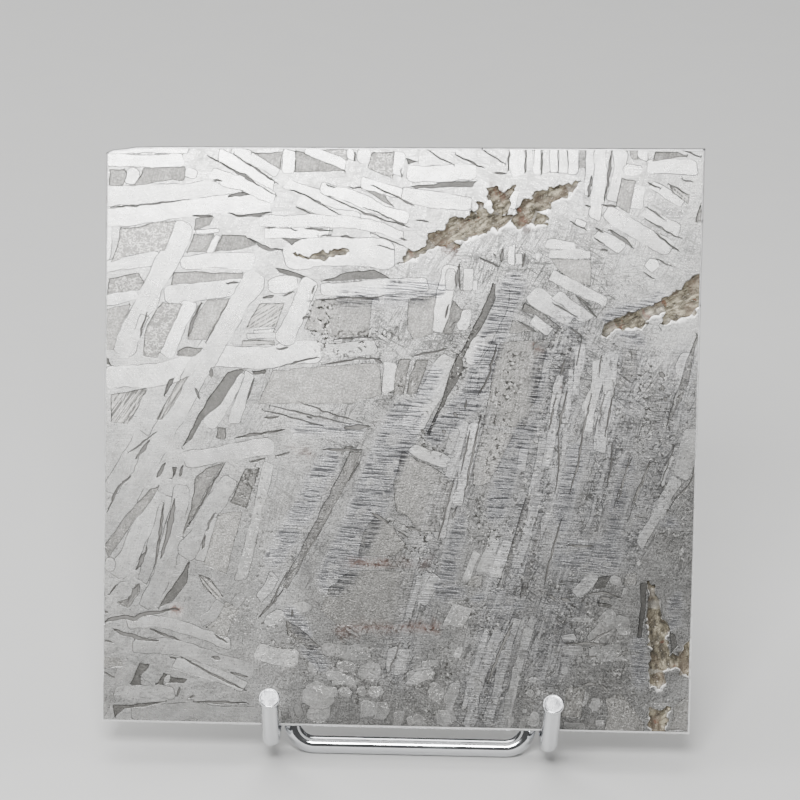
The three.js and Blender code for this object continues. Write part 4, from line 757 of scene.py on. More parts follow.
    def slit(self, row: tuple[float, ...]) -> Region:
        """Makes a gap that is widest in its middle and closes to a point at both ends.

        Args:
            row: Widest width, then u and v along the gap.

        Returns:
            The gap.
        """
        width, *flat = row
        path = self.middle(flat, self.spacing * 0.8)
        share = np.linspace(0.0, 1.0, len(path))
        astray = wander(len(path), 0.9 / self.spacing, 0.06, self.rng) * np.sin(math.pi * share) ** 0.5
        path = path + sideways(path) * astray[:, None]
        half = 0.4 * width * np.sin(math.pi * share) ** 0.55
        half = half * (1 + wander(len(path), 1.1 / self.spacing, 0.24, self.rng)).clip(0.35, 1.5)
        outward = sideways(path) * half[:, None]
        outline = np.vstack([path[:1], path[1:-1] + outward[1:-1], path[-1:], (path - outward)[-2:0:-1]])
        depth = min(self.SLIT_DEPTH, 0.4 * width)
        return Region(outline + self.shift, Kind.SLIT, 1.0, depth * self.relief, 0.0, 0.0, path[1:-1] + self.shift)

    def regions(self) -> list[Region]:
        """Lays out every patch.

        Returns:
            The patches, each cut out of those before it.
        """
        laid = [self.band(row, tone) for rows, tone in self.BAND_ROWS for row in rows]
        laid += [self.field(row, *nature) for rows, *nature in self.WINDOW_ROWS for row in rows]
        laid += [self.slit(row) for row in (*SLITS, CRACK)]
        laid += [self.field(row, Kind.INCLUSION, 1.0, self.INCLUSION_DEPTH) for row in INCLUSIONS]
        return laid


def inset(corners: np.ndarray, distance: float) -> np.ndarray:
    """Moves every side of an outline inwards.

    Args:
        corners: The outline's corners, anticlockwise.
        distance: How far in, in the corners' own unit.

    Returns:
        The new corners, in the same order.
    """
    sides = np.roll(corners, -1, axis=0) - corners
    sides /= np.linalg.norm(sides, axis=1, keepdims=True)
    inward = np.column_stack([-sides[:, 1], sides[:, 0]])
    moved = []
    for k in range(len(corners)):
        normals = np.array([inward[k - 1], inward[k]])
        reach = np.einsum("ij,j->i", normals, corners[k]) + distance
        moved.append(np.linalg.solve(normals, reach))
    return np.array(moved)


def speckle(points: np.ndarray, size: float, seed: int) -> np.ndarray:
    """Smooth random heights over the face.

    Args:
        points: Where, u and v.
        size: The usual distance from one hump to the next, in mm.
        seed: What the randomness starts from.

    Returns:
        Numbers from 0 to 1.
    """
    cells = 64
    table = np.random.default_rng(seed).uniform(0.0, 1.0, (cells, cells))
    at = points / size
    low = np.floor(at).astype(int)
    share = at - low
    share = share * share * (3 - 2 * share)
    x, y = low[:, 0] % cells, low[:, 1] % cells
    x1, y1 = (x + 1) % cells, (y + 1) % cells
    bottom = table[x, y] * (1 - share[:, 0]) + table[x1, y] * share[:, 0]
    top = table[x, y1] * (1 - share[:, 0]) + table[x1, y1] * share[:, 0]
    return bottom * (1 - share[:, 1]) + top * share[:, 1]


def distance_to(points: np.ndarray, path: np.ndarray) -> np.ndarray:
    """Measures how far points are from a line of straight lengths.

    Args:
        points: The points, u and v.
        path: The line's points.

    Returns:
        One distance to a point.
    """
    best = np.full(len(points), np.inf)
    for start, end in zip(path, path[1:]):
        run = end - start
        share = ((points - start) @ run / max(run @ run, 1e-12)).clip(0.0, 1.0)
        best = np.minimum(best, np.linalg.norm(points - start - share[:, None] * run, axis=1))
    return best


def nearest(taken: np.ndarray, wanted: np.ndarray) -> np.ndarray:
    """Measures how far points are from the nearest one of others.

    Args:
        taken: The others, u and v.
        wanted: The points, u and v.

    Returns:
        One distance to a point.
    """
    tree = kdtree.KDTree(len(taken))
    for index, point in enumerate(taken):
        tree.insert((*point, 0.0), index)
    tree.balance()
    return np.array([tree.find((*point, 0.0))[2] for point in wanted])


@dataclass
class FaceSheet:
    """One etched face as a triangle sheet, with the marks that its finish reads.

    Attributes:
        pattern: The pattern cut into it.
        offset: How far beside each edge the metal is level again, in mm.
        grid: The distance between the points inside a patch, in mm.
    """

    pattern: Pattern
    offset: float
    grid: float
    points: np.ndarray = field(init=False)
    heights: np.ndarray = field(init=False)
    triangles: np.ndarray = field(init=False)
    kinds: np.ndarray = field(init=False)
    tones: np.ndarray = field(init=False)
    slants: np.ndarray = field(init=False)
    busy: np.ndarray = field(init=False)
    smooth: np.ndarray = field(init=False)
    seams: np.ndarray = field(init=False)
    rim_highlights: np.ndarray = field(init=False)
    depths: np.ndarray = field(init=False)
    rim: np.ndarray = field(init=False)
    rim_at: np.ndarray = field(init=False)

    REACH_U = (-42.0, 42.0)
    REACH_V = (-1.0, 81.0)
    # The least distances between points, as shares of the offset and of the grid, and how far the grid strays.
    CLEAR_OF_EDGES = 0.72
    CLEAR_INSIDE = 0.45
    GRID_STRAY = 0.4
    SEAM_DEPTH = 0.003
    WALL_DROP = 0.008
    SAME_LEVEL = 0.04
    # How far the painted highlight round an inclusion reaches from its rim, in mm.
    RIM_HIGHLIGHT_WIDTH = 0.32
    GROUND_TONE = 0.86
    GROUND_SLANT = 0.2
    # How high the grain stands in the inclusions, in the fine windows and elsewhere.
    GRAIN_HEIGHTS = (0.16, 0.003, 0.0012)

    def __post_init__(self) -> None:
        """Cuts the face into triangles and measures its marks."""
        corners = inset(np.array(OUTLINE), EDGE_BEVEL)
        regions = self.pattern.regions()
        self._triangulate(corners, regions)
        self._classify(regions)
        self._find_rim(corners)
        LOG.info("face sheet: %d points, %d triangles", len(self.points), len(self.triangles))

    def _triangulate(self, corners: np.ndarray, regions: list[Region]) -> None:
        """Lays triangles over the face, with every patch's edge among their sides.

        Args:
            corners: Where the flat face ends.
            regions: The patches.
        """
        spacing = self.pattern.spacing
        sides = [resampled(np.array([a, b]), spacing)[:-1] for a, b in zip(corners, np.roll(corners, -1, axis=0))]
        loops = [np.vstack(sides)] + [region.outline for region in regions]
        edges = []
        first = 0
        for loop in loops:
            count = len(loop)
            edges += [(first + k, first + (k + 1) % count) for k in range(count)]
            first += count
        spines = [region.spine for region in regions if region.spine is not None]
        beside = []
        for loop in loops:
            lean = sideways(np.vstack([loop[-1:], loop, loop[:1]]))[1:-1] * self.offset
            beside += [loop + lean, loop - lean]
        columns, rows = np.arange(*self.REACH_U, self.grid), np.arange(*self.REACH_V, self.grid)
        lattice = np.stack(np.meshgrid(columns, rows), axis=-1).reshape(-1, 2)
        lattice += self.pattern.rng.uniform(-self.GRID_STRAY, self.GRID_STRAY, lattice.shape) * self.grid
        fixed = np.vstack(loops + spines)
        free = self._spread(fixed, np.vstack(beside), self.CLEAR_OF_EDGES * self.offset)
        inner = self._spread(np.vstack([fixed, free]), lattice, self.CLEAR_INSIDE * self.grid)
        every = np.vstack([fixed, free, inner])
        points, _, triangles, *_ = delaunay_2d_cdt([Vector(p) for p in every], edges, [], 0, 1e-4, False)
        points = np.array([tuple(p) for p in points])
        triangles = np.array(triangles)
        middles = points[triangles].mean(axis=1)
        triangles = triangles[inside(middles, corners)]
        used, triangles = np.unique(triangles, return_inverse=True)
        self.points = points[used]
        self.triangles = triangles.reshape(-1, 3)

    @staticmethod
    def _spread(taken: np.ndarray, wanted: np.ndarray, room: float) -> np.ndarray:
        """Keeps only the points that stand clear of others.

        Args:
            taken: The points already there.
            wanted: The points to add.
            room: The least distance from one to another.

        Returns:
            The points that have room.
        """
        wanted = wanted[nearest(taken, wanted) > room]
        _, first = np.unique(np.floor(wanted / room).astype(int), axis=0, return_index=True)
        return wanted[np.sort(first)]

    def _around(self, values: np.ndarray) -> tuple[np.ndarray, np.ndarray]:
        """Compares the triangles round each point.

        Args:
            values: One number to a triangle.

        Returns:
            The lowest and the highest number round each point.
        """
        low, high = np.full(len(self.points), np.inf), np.full(len(self.points), -np.inf)
        np.minimum.at(low, self.triangles.ravel(), np.repeat(values, 3))
        np.maximum.at(high, self.triangles.ravel(), np.repeat(values, 3))
        return low, high

    def _classify(self, regions: list[Region]) -> None:
        """Gives every triangle its patch, and every point its height and marks.

        Args:
            regions: The patches, the last one on top.
        """
        seed = self.pattern.seed
        middles = self.points[self.triangles].mean(axis=1)
        owner = np.zeros(len(middles), int)
        for number, region in enumerate(regions, start=1):
            owner[inside(middles, region.outline)] = number
        ground = 1.0 + 0.16 * (speckle(middles, 3.5, seed) - 0.5)
        level = np.array([0.0] + [-region.depth for region in regions])
        kind = np.array([Kind.IRON] + [region.kind for region in regions])
        tone = np.array([self.GROUND_TONE] + [region.tone for region in regions])
        self.kinds = kind[owner]
        self.tones = tone[owner] * np.where(owner == 0, ground, 1.0)
        self.slants = np.array([self.GROUND_SLANT] + [region.slant for region in regions])[owner]
        self.busy = np.array([1.0] + [region.busy for region in regions])[owner]
        low_owner, high_owner = self._around(owner)
        low, high = self._around(level[owner])
        border = low_owner != high_owner
        self.smooth = (self.kinds == Kind.INCLUSION) & ~border[self.triangles].any(axis=1)
        strength = (2.4 * speckle(self.points, 1.8, seed + 1) - 0.4).clip(0.2, 1.0)
        seam = high - low < self.SAME_LEVEL
        groove = low - self.SEAM_DEPTH * self.pattern.relief * strength
        height = np.where(border, np.where(seam, groove, high - self.WALL_DROP), low)
        rough = kind[np.where(border, 0, low_owner).astype(int)]
        grains = speckle(self.points, 0.5, 7) + 0.7 * speckle(self.points, 0.24, 8) - 0.85
        coarse, fine, faint = self.GRAIN_HEIGHTS
        height = height + np.where(rough == Kind.INCLUSION, coarse * grains, 0.0)
        windows = np.isin(rough, (Kind.PLAIN, Kind.COMB, Kind.NET, Kind.DARK))
        height = height + np.where(windows, fine * grains, faint * grains)
        self.heights = np.minimum(height, 0.0)
        self.seams = self.pattern.relief * np.where(border, np.where(seam, strength, 0.8), 0.0)
        deep = np.zeros(len(self.points), bool)
        deep[self.triangles[self.kinds == Kind.INCLUSION]] = True
        # Painted highlight round the inclusions: strongest on the rim just below each one, where the metal faces up
        # into the light, and broken up at random.
        rim_highlight_breaks = (3.0 * speckle(self.points, 1.1, seed + 2) - 1.0).clip(0.0, 1.0)
        under = np.zeros(len(self.points), bool)
        for region in regions:
            if region.kind is Kind.INCLUSION:
                under |= inside(self.points + (0.0, 0.4), region.outline)
        away = nearest(self.points[border & deep], self.points)
        self.rim_highlights = np.where(under, 0.7 + 0.3 * rim_highlight_breaks, 0.6 * rim_highlight_breaks) * (1 - away / self.RIM_HIGHLIGHT_WIDTH).clip(0.0, 1.0)
        self.depths = nearest(self.points[border], self.points)

    def _find_rim(self, corners: np.ndarray) -> None:
        """Finds the points round the sheet's edge, and how far round each one is.

        Args:
            corners: Where the flat face ends.
        """
        sides = np.sort(np.vstack([self.triangles[:, [k, (k + 1) % 3]] for k in range(3)]), axis=1)
        single, count = np.unique(sides, axis=0, return_counts=True)
        ends = np.unique(single[count == 1])
        along = np.full(len(self.points), -1.0)
        best = np.full(len(self.points), np.inf)
        for number, (start, end) in enumerate(zip(corners, np.roll(corners, -1, axis=0))):
            run = end - start
            share = ((self.points - start) @ run / (run @ run)).clip(0.0, 1 - 1e-9)
            away = np.linalg.norm(self.points - start - share[:, None] * run, axis=1)
            nearer = (away < best - 1e-7) & np.isin(np.arange(len(self.points)), ends)
            along[nearer] = number + share[nearer]
            best[nearer] = away[nearer]
        rim = np.nonzero(along >= 0)[0]
        self.rim = rim[np.argsort(along[rim])]
        self.rim_at = along[self.rim]

    def wear(self, wear: Wear) -> np.ndarray:
        """Measures one soft mark over the sheet's points.

        Args:
            wear: The mark.

        Returns:
            Its strength, from 0 to 1, at each point.
        """
        found = np.zeros(len(self.points))
        for width, strength, *flat in WEAR[wear]:
            away = distance_to(self.points, points_of(flat) + self.pattern.shift)
            share = (1.25 - away / (0.5 * width)).clip(0.0, 1.0)
            found = np.maximum(found, strength * share * share * (3 - 2 * share))
        return found


def placed(plane: np.ndarray) -> np.ndarray:
    """Leans points of the slice's plane back to where they are in the object.

    Args:
        plane: u, v and n in mm, one point to a row.

    Returns:
        x, y and z in metres.
    """
    u, v, n = plane.T
    x0, y0, z0 = PLANE_ORIGIN
    y = y0 + v * math.sin(LEAN) - n * math.cos(LEAN)
    z = z0 + v * math.cos(LEAN) + n * math.sin(LEAN)
    return np.column_stack([u + x0, y, z]) * MM


def zipped(upper: np.ndarray, upper_at: np.ndarray, lower: np.ndarray, lower_at: np.ndarray) -> list[tuple[int, ...]]:
    """Joins two closed rows of points with triangles.

    Args:
        upper: The numbers of the upper row's points, anticlockwise.
        upper_at: How far round each of them is.
        lower: The numbers of the lower row's points, anticlockwise.
        lower_at: How far round each of them is.

    Returns:
        The triangles, facing outwards.
    """
    made = []
    a = b = 0
    turns = max(upper_at.max(), lower_at.max()) + 1.0
    upper_next = np.append(upper_at, upper_at[0] + turns)
    lower_next = np.append(lower_at, lower_at[0] + turns)
    while a < len(upper) or b < len(lower):
        here, there = upper[a % len(upper)], lower[b % len(lower)]
        take_lower = a == len(upper) or (b < len(lower) and lower_next[b + 1] <= upper_next[a + 1])
        if take_lower:
            b += 1
            made.append((here, there, lower[b % len(lower)]))
        else:
            a += 1
            made.append((here, there, upper[a % len(upper)]))
    return made


def shown(name: str, data: bpy.types.ID) -> bpy.types.Object:
    """Puts something into the scene.

    Args:
        name: Its name.
        data: Its mesh, light or camera.

    Returns:
        The object.
    """
    made = bpy.data.objects.new(name, data)
    bpy.context.scene.collection.objects.link(made)
    return made


def piece_of(
    name: str, plane: np.ndarray, faces: list[tuple[int, ...]], slots: np.ndarray, smooth: np.ndarray
) -> bpy.types.Object:
    """Makes a piece of the scene.

    Args:
        name: The piece's name.
        plane: Its points, u, v and n.
        faces: Its faces, by the points' numbers.
        slots: The finish of each face.
        smooth: Whether each face is shaded smooth.

    Returns:
        The piece.
    """
    mesh = bpy.data.meshes.new(name)
    mesh.from_pydata(placed(plane).tolist(), [], faces)
    mesh.polygons.foreach_set("material_index", slots.astype(np.int32))
    mesh.polygons.foreach_set("use_smooth", smooth)
    mesh.update()
    LOG.info("%s: %d faces", name, len(faces))
    return shown(name, mesh)


@dataclass
class MeteoriteSlice:
    """The slice itself: two etched faces and the sawn edge round them, as one closed skin.

    Attributes:
        front: The face that is looked at.
        back: The face behind.
    """

    front: FaceSheet
    back: FaceSheet

    # How far out of the bevel's start and how far down each row of the rounded edge lies.
    BEVEL_ROWS = ((0.3, 0.08), (0.7, 0.3), (1.0, 0.75))
    SAW_WANDER = 0.02

    def rows_below(self, sheet: FaceSheet, side: int) -> np.ndarray:
        """Rounds a sheet's edge off and runs it part-way down the sawn side.

        Args:
            sheet: The sheet.
            side: 1 for the front and -1 for the back.

        Returns:
            The new points, u, v and n, one row of the sheet's rim after another.
        """
        outer = np.array(OUTLINE)
        inner = inset(outer, EDGE_BEVEL)
        number = sheet.rim_at.astype(int)
        share = (sheet.rim_at - number)[:, None]
        after = (number + 1) % len(outer)
        full = outer[number] * (1 - share) + outer[after] * share
        near = inner[number] * (1 - share) + inner[after] * share
        shaky = (speckle(full, 0.8, 31) - 1.0) * self.SAW_WANDER
        rows = []
        for out, down in self.BEVEL_ROWS:
            spot = near + (full - near) * (out + shaky * out)[:, None]
            depth = np.minimum(sheet.heights[sheet.rim], 0.0) - down
            rows.append(np.column_stack([spot, depth if side == 1 else -THICKNESS - depth]))
        return np.vstack(rows)

    def build(self) -> bpy.types.Object:
        """Makes the mesh and its marks.

        Returns:
            The slice.
        """
        planes, faces, kinds, smooth, last_rows = [], [], [], [], []
        patches = {name: [] for name in ("tone", "slant", "busy")}
        # The lip mark carries a painted highlight round the inclusions; the dulled wear carries painted shade as well
        # as dulling.
        marks = {name: [] for name in ("seam", "lip", "depth", *(wear.value for wear in Wear))}
        total = 0
        for sheet, side in ((self.front, 1), (self.back, -1)):
            below = self.rows_below(sheet, side)
            heights = sheet.heights if side == 1 else -THICKNESS - sheet.heights
            planes += [np.column_stack([sheet.points, heights]), below]
            faces += [tuple(corners[::side]) for corners in (sheet.triangles + total).tolist()]
            length = len(sheet.rim)
            row = sheet.rim + total
            for number in range(len(self.BEVEL_ROWS)):
                lower = total + len(sheet.points) + number * length + np.arange(length)
                quads = np.column_stack([row, lower, np.roll(lower, -1), np.roll(row, -1)])
                faces += [tuple(quad[::side]) for quad in quads.tolist()]
                row = lower
            last_rows.append(row)
            ones = np.ones(len(below))
            kinds += [sheet.kinds, Kind.EDGE * ones]
            smooth += [sheet.smooth, ones > 0]
            for name, values in (("tone", sheet.tones), ("slant", sheet.slants), ("busy", sheet.busy)):
                patches[name] += [values, ones]
            found = [(wear.value, sheet.wear(wear), 0.0) for wear in Wear]
            found += [("seam", sheet.seams, 0.0), ("lip", sheet.rim_highlights, 0.0), ("depth", sheet.depths, 1.0)]
            for name, values, beyond in found:
                marks[name] += [values, beyond * ones]
            total += len(sheet.points) + len(below)
        side_faces = zipped(last_rows[0], self.front.rim_at, last_rows[1], self.back.rim_at)
        ones = np.ones(len(side_faces))
        kinds.append(Kind.EDGE * ones)
        smooth.append(ones > 0)
        for parts in patches.values():
            parts.append(ones)
        plane = np.vstack(planes)
        piece = piece_of("etched_slice", plane, faces + side_faces, np.concatenate(kinds), np.concatenate(smooth))
        layers = [("place", "FLOAT_VECTOR", "POINT", "vector", plane)]
        layers += [(name, "FLOAT", "POINT", "value", np.concatenate(parts)) for name, parts in marks.items()]
        layers += [(name, "FLOAT", "FACE", "value", np.concatenate(parts)) for name, parts in patches.items()]
        for name, kind, domain, key, values in layers:
            attribute = piece.data.attributes.new(name, kind, domain)
            attribute.data.foreach_set(key, values.astype(np.float32).ravel())
        return piece


Socket = bpy.types.NodeSocket
Value = float | Socket
Colour = tuple[float, float, float]
Tint = Colour | Socket

# Directions of fine line-work, in radians from u, and its runs: direction, usual length and spacing in mm.
LEVEL = 0.035
STEEP = 1.32
LINE_RUNS = ((LEVEL, 6.0, 0.6), (STEEP, 8.0, 0.6), (2.62, 6.0, 0.7), (1.05, 7.0, 0.75))


class Tree:
    """The node tree of one finish."""

    def __init__(self, name: str) -> None:
        """Starts a finish that has only a surface.

        Args:
            name: The finish's name.
        """
        self.material = bpy.data.materials.new(name)
        self.material.use_nodes = True
        self.nodes = self.material.node_tree.nodes
        self.links = self.material.node_tree.links
        self.nodes.clear()
        self.surface = self.nodes.new("ShaderNodeBsdfPrincipled")
        output = self.nodes.new("ShaderNodeOutputMaterial")
        self.links.new(self.surface.outputs["BSDF"], output.inputs["Surface"])

    def put(self, socket: Socket, value: Value | tuple[float, ...]) -> None:
        """Feeds an input with a number, a colour or another node.

        Args:
            socket: The input.
            value: What goes into it.
        """
        if isinstance(value, Socket):
            self.links.new(value, socket)
        else:
            socket.default_value = (*value, 1.0) if socket.type == "RGBA" else value

    def node(
        self, kind: str, output: str | int, inputs: dict[str | int, Value | tuple[float, ...]], **settings: str | bool
    ) -> Socket:
        """Adds a node.

        Args:
            kind: What kind of node it is.
            output: Which of its outputs is wanted.
            inputs: What goes into its inputs.
            settings: Its other settings.

        Returns:
            The output.
        """
        node = self.nodes.new(f"ShaderNode{kind}")
        for name, setting in settings.items():
            setattr(node, name, setting)
        for name, value in inputs.items():
            self.put(node.inputs[name], value)
        return node.outputs[output]

    def math(self, operation: str, first: Value, second: Value = 0.0, clamp: bool = False) -> Socket:
        """Works out one sum, and holds the result between 0 and 1 where that is wanted."""
        return self.node("Math", 0, {0: first, 1: second}, operation=operation, use_clamp=clamp)

    def times(self, *values: Value) -> Socket:
        """Multiplies numbers together."""
        return reduce(lambda first, second: self.math("MULTIPLY", first, second), values)

    def most(self, *values: Value) -> Socket:
        """Finds the largest of some numbers."""
        return reduce(lambda first, second: self.math("MAXIMUM", first, second), values)

    def spread(self, value: Value, low: float, high: float, to_low: float = 0.0, to_high: float = 1.0) -> Socket:
        """Carries the numbers from low to high over smoothly to another range, and holds them at both ends."""
        inputs = {"Value": value, "From Min": low, "From Max": high, "To Min": to_low, "To Max": to_high}
        return self.node("MapRange", "Result", inputs, interpolation_type="SMOOTHSTEP")

    def blend(self, share: Value, first: Tint, second: Tint, way: str = "MIX") -> Socket:
        """Mixes two colours, with the given share of the second."""
        return self.node("Mix", 2, {0: share, 6: first, 7: second}, data_type="RGBA", blend_type=way)

    def mix(self, share: Value, first: Value, second: Value) -> Socket:
        """Mixes two numbers, with the given share of the second."""
        return self.node("Mix", "Result", {"Factor": share, "A": first, "B": second})

    def moved(self, where: Socket, away: float) -> Socket:
        """Moves a place, for noise that differs from the noise there."""
        return self.node("VectorMath", "Vector", {0: where, 1: (away, away, away)})

    def stretched(self, where: Socket, factors: tuple[float, float, float]) -> Socket:
        """Multiplies a place by one factor for each of its directions."""
        return self.node("VectorMath", "Vector", {0: where, 1: factors}, operation="MULTIPLY")

    def grey(self, value: Value) -> Socket:
        """Makes a grey of the given brightness."""
        return self.node("CombineColor", "Color", {0: value, 1: value, 2: value})

    def mark(self, name: str) -> Socket:
        """Reads one of the mesh's marks as a number."""
        return self.node("Attribute", "Fac", {}, attribute_name=name)

    def place(self) -> Socket:
        """Reads where a point lies on the slice's plane, u, v and n in mm."""
        return self.node("Attribute", "Vector", {}, attribute_name="place")

    def world(self) -> Socket:
        """Reads where a point lies in its piece's own frame, in metres."""
        return self.node("TexCoord", "Object", {})

    def noise(self, where: Socket, scale: float, detail: float = 2.0, rough: float = 0.5) -> Socket:
        """Makes cloudy noise from 0 to 1, with the given number of clouds in one unit and of finer layers."""
        return self.node("TexNoise", "Fac", {"Vector": where, "Scale": scale, "Detail": detail, "Roughness": rough})

    def streaks(self, where: Socket, turn: Value, length: float, width: float, detail: float = 2.0) -> Socket:
        """Makes noise drawn out along one direction of the slice's plane, in radians from u."""
        turned = self.node("VectorRotate", "Vector", {0: where, "Angle": turn}, rotation_type="Z_AXIS", invert=True)
        return self.noise(self.stretched(turned, (1 / length, 1 / width, 1 / width)), 1.0, detail)

    def creases(self, where: Socket, turn: Value, length: float, width: float, thin: float) -> Socket:
        """Makes fine lines that wind along one direction: 1 on a line, falling to 0 beside it."""
        hills = self.streaks(where, turn, length, width, 1.0)
        return self.spread(self.math("ABSOLUTE", self.math("SUBTRACT", hills, 0.5)), 0.0, thin, 1.0, 0.0)

    def saw_lines(self, where: Socket, turn: float, apart: float, stray: float) -> Socket:
        """Makes thin, nearly even lines, as a saw leaves them.

        Args:
            where: The place.
            turn: Their direction, in radians from u.
            apart: The usual distance between them.
            stray: How far they stray from even.

        Returns:
            1 on a line, falling to 0 beside it.
        """
        right, up = (self.node("SeparateXYZ", axis, {0: where}) for axis in "XY")
        across = self.math("SUBTRACT", self.times(up, math.cos(turn)), self.times(right, math.sin(turn)))
        across = self.math("ADD", across, self.times(self.streaks(where, turn, 9.0, 0.9), stray))
        wave = self.math("SINE", self.times(across, 2 * math.pi / apart))
        faint = self.spread(self.streaks(where, turn, 3.5, 0.3, 1.0), 0.36, 0.56, 0.25)
        return self.times(self.spread(wave, 0.15, 0.8), faint)

    def bump(self, height: Value, depth: float) -> None:
        """Gives the surface small hills, of the given depth in metres where the height is 1."""
        self.put(self.surface.inputs["Normal"], self.node("Bump", "Normal", {"Distance": depth, "Height": height}))

    def finish(self, colour: Tint, metallic: Value, roughness: Value) -> bpy.types.Material:
        """Sets the surface.

        Args:
            colour: Its colour.
            metallic: How much of it is metal.
            roughness: How matt it is.

        Returns:
            The finish.
        """
        for name, value in (("Base Color", colour), ("Metallic", metallic), ("Roughness", roughness)):
            self.put(self.surface.inputs[name], value)
        return self.material


@dataclass(frozen=True)
class WornMetal:
    """The marks that scratches, pits and rust leave on any part of the etched face, with streaks and a broad painted
    shade.

    Attributes:
        scratch_tint: What the metal's colour is multiplied by between the scratches.
        cut_colour: The colour in the scratches.
        pit_colour: The colour of the pits.
        fleck_colour: The colour of the bright metal left standing among them.
        rust_colour: The colour of rust.
        shade_and_dulling: How much darker the parts under the painted shade and dulling are at their darkest.
        runs: The streaks: turn from steep, length, width, noise layers, where each starts and is full, share, colour.
    """

    scratch_tint: Colour = (0.86, 0.87, 0.91)
    cut_colour: Colour = (0.08, 0.08, 0.085)
    pit_colour: Colour = (0.032, 0.03, 0.026)
    fleck_colour: Colour = (0.92, 0.91, 0.88)
    rust_colour: Colour = (0.11, 0.045, 0.028)
    shade_and_dulling: float = 0.33
    runs: tuple[tuple[float | Colour, ...], ...] = (
        (0.0, 11.0, 1.1, 1.5, 0.5, 0.57, 0.35, (0.26, 0.255, 0.25)),
        (-0.03, 8.0, 0.5, 2.0, 0.53, 0.6, 0.25, (0.1, 0.098, 0.095)),
        (0.02, 9.0, 0.7, 2.0, 0.56, 0.62, 0.25, (0.9, 0.9, 0.88)),
    )

    def over(self, tree: Tree, colour: Socket, rough: Value) -> tuple[Socket, Socket, Socket, Socket]:
        """Lays the marks over a clean metal.

        Args:
            tree: The finish's nodes.
            colour: The clean colour.
            rough: The clean roughness.

        Returns:
            The colour, the share of metal, the roughness and a height for the surface.
        """
        place = tree.place()
        streaked = tree.mark("streaked")
        worn = colour
        for turn, length, width, layers, start, full, share, hue in self.runs:
            run = tree.spread(tree.streaks(place, STEEP + turn, length, width, layers), start, full)
            worn = tree.blend(tree.times(streaked, run, share), worn, hue)
        level = tree.saw_lines(place, -LEVEL, 0.62, 1.4)
        saw = tree.most(level, tree.saw_lines(tree.moved(place, 5.0), -2.0 * LEVEL, 0.34, 1.1))
        cloud = tree.spread(tree.noise(place, 0.5, 3.0, 0.6), 0.36, 0.46, 0.4)
        hatched = tree.spread(tree.mark("scratched"), 0.1, 0.7)
        hatched = tree.most(hatched, tree.times(streaked, 0.6))
        scratched = tree.math("MULTIPLY", hatched, cloud, True)
        cut = tree.times(scratched, saw)
        worn = tree.blend(scratched, worn, self.scratch_tint, "MULTIPLY")
        worn = tree.blend(tree.times(cut, 0.85), worn, self.cut_colour)
        spots = tree.spread(tree.noise(place, 2.2, 2.0, 0.5), 0.54, 0.58)
        patchy = tree.spread(tree.noise(place, 0.8, 3.0), 0.42, 0.56)
        every = tree.most(tree.mark("pitted"), tree.times(tree.mark("scratched"), 0.6))
        every = tree.most(every, tree.times(streaked, 0.7))
        every = tree.times(every, tree.spread(tree.mark("scratched"), 0.0, 1.0, 1.0, 0.4))
        pits = tree.math("MULTIPLY", tree.times(spots, every, 1.3), patchy, True)
        worn = tree.blend(tree.times(pits, 0.95), worn, self.pit_colour)
        flecks = tree.spread(tree.noise(tree.moved(place, 11.0), 2.6, 1.0, 0.5), 0.62, 0.66)
        worn = tree.blend(tree.times(every, patchy, flecks, 0.6), worn, self.fleck_colour)
        crumbs = tree.spread(tree.noise(place, 2.4, 4.0, 0.65), 0.34, 0.52)
        rust = tree.math("MULTIPLY", tree.mark("rusted"), crumbs, True)
        worn = tree.blend(tree.times(rust, 0.8), worn, self.rust_colour)
        # Painted shade, with some dulling of the metal: the dulled mark darkens the colour.
        dull_and_shade_factor = tree.spread(tree.mark("dulled"), 0.0, 1.0, 1.0, 1.0 - self.shade_and_dulling)
        worn = tree.blend(1.0, worn, tree.grey(dull_and_shade_factor), "MULTIPLY")
        metal = tree.spread(tree.most(rust, pits), 0.0, 1.0, 1.0, 0.25)
        rougher = tree.most(rust, tree.most(tree.times(cut, 1.4), pits))
        roughness = tree.math("ADD", rough, tree.times(rougher, 0.3), True)
        height = tree.math("SUBTRACT", 1.0, tree.most(pits, tree.times(cut, 0.6)))
        return worn, metal, roughness, height


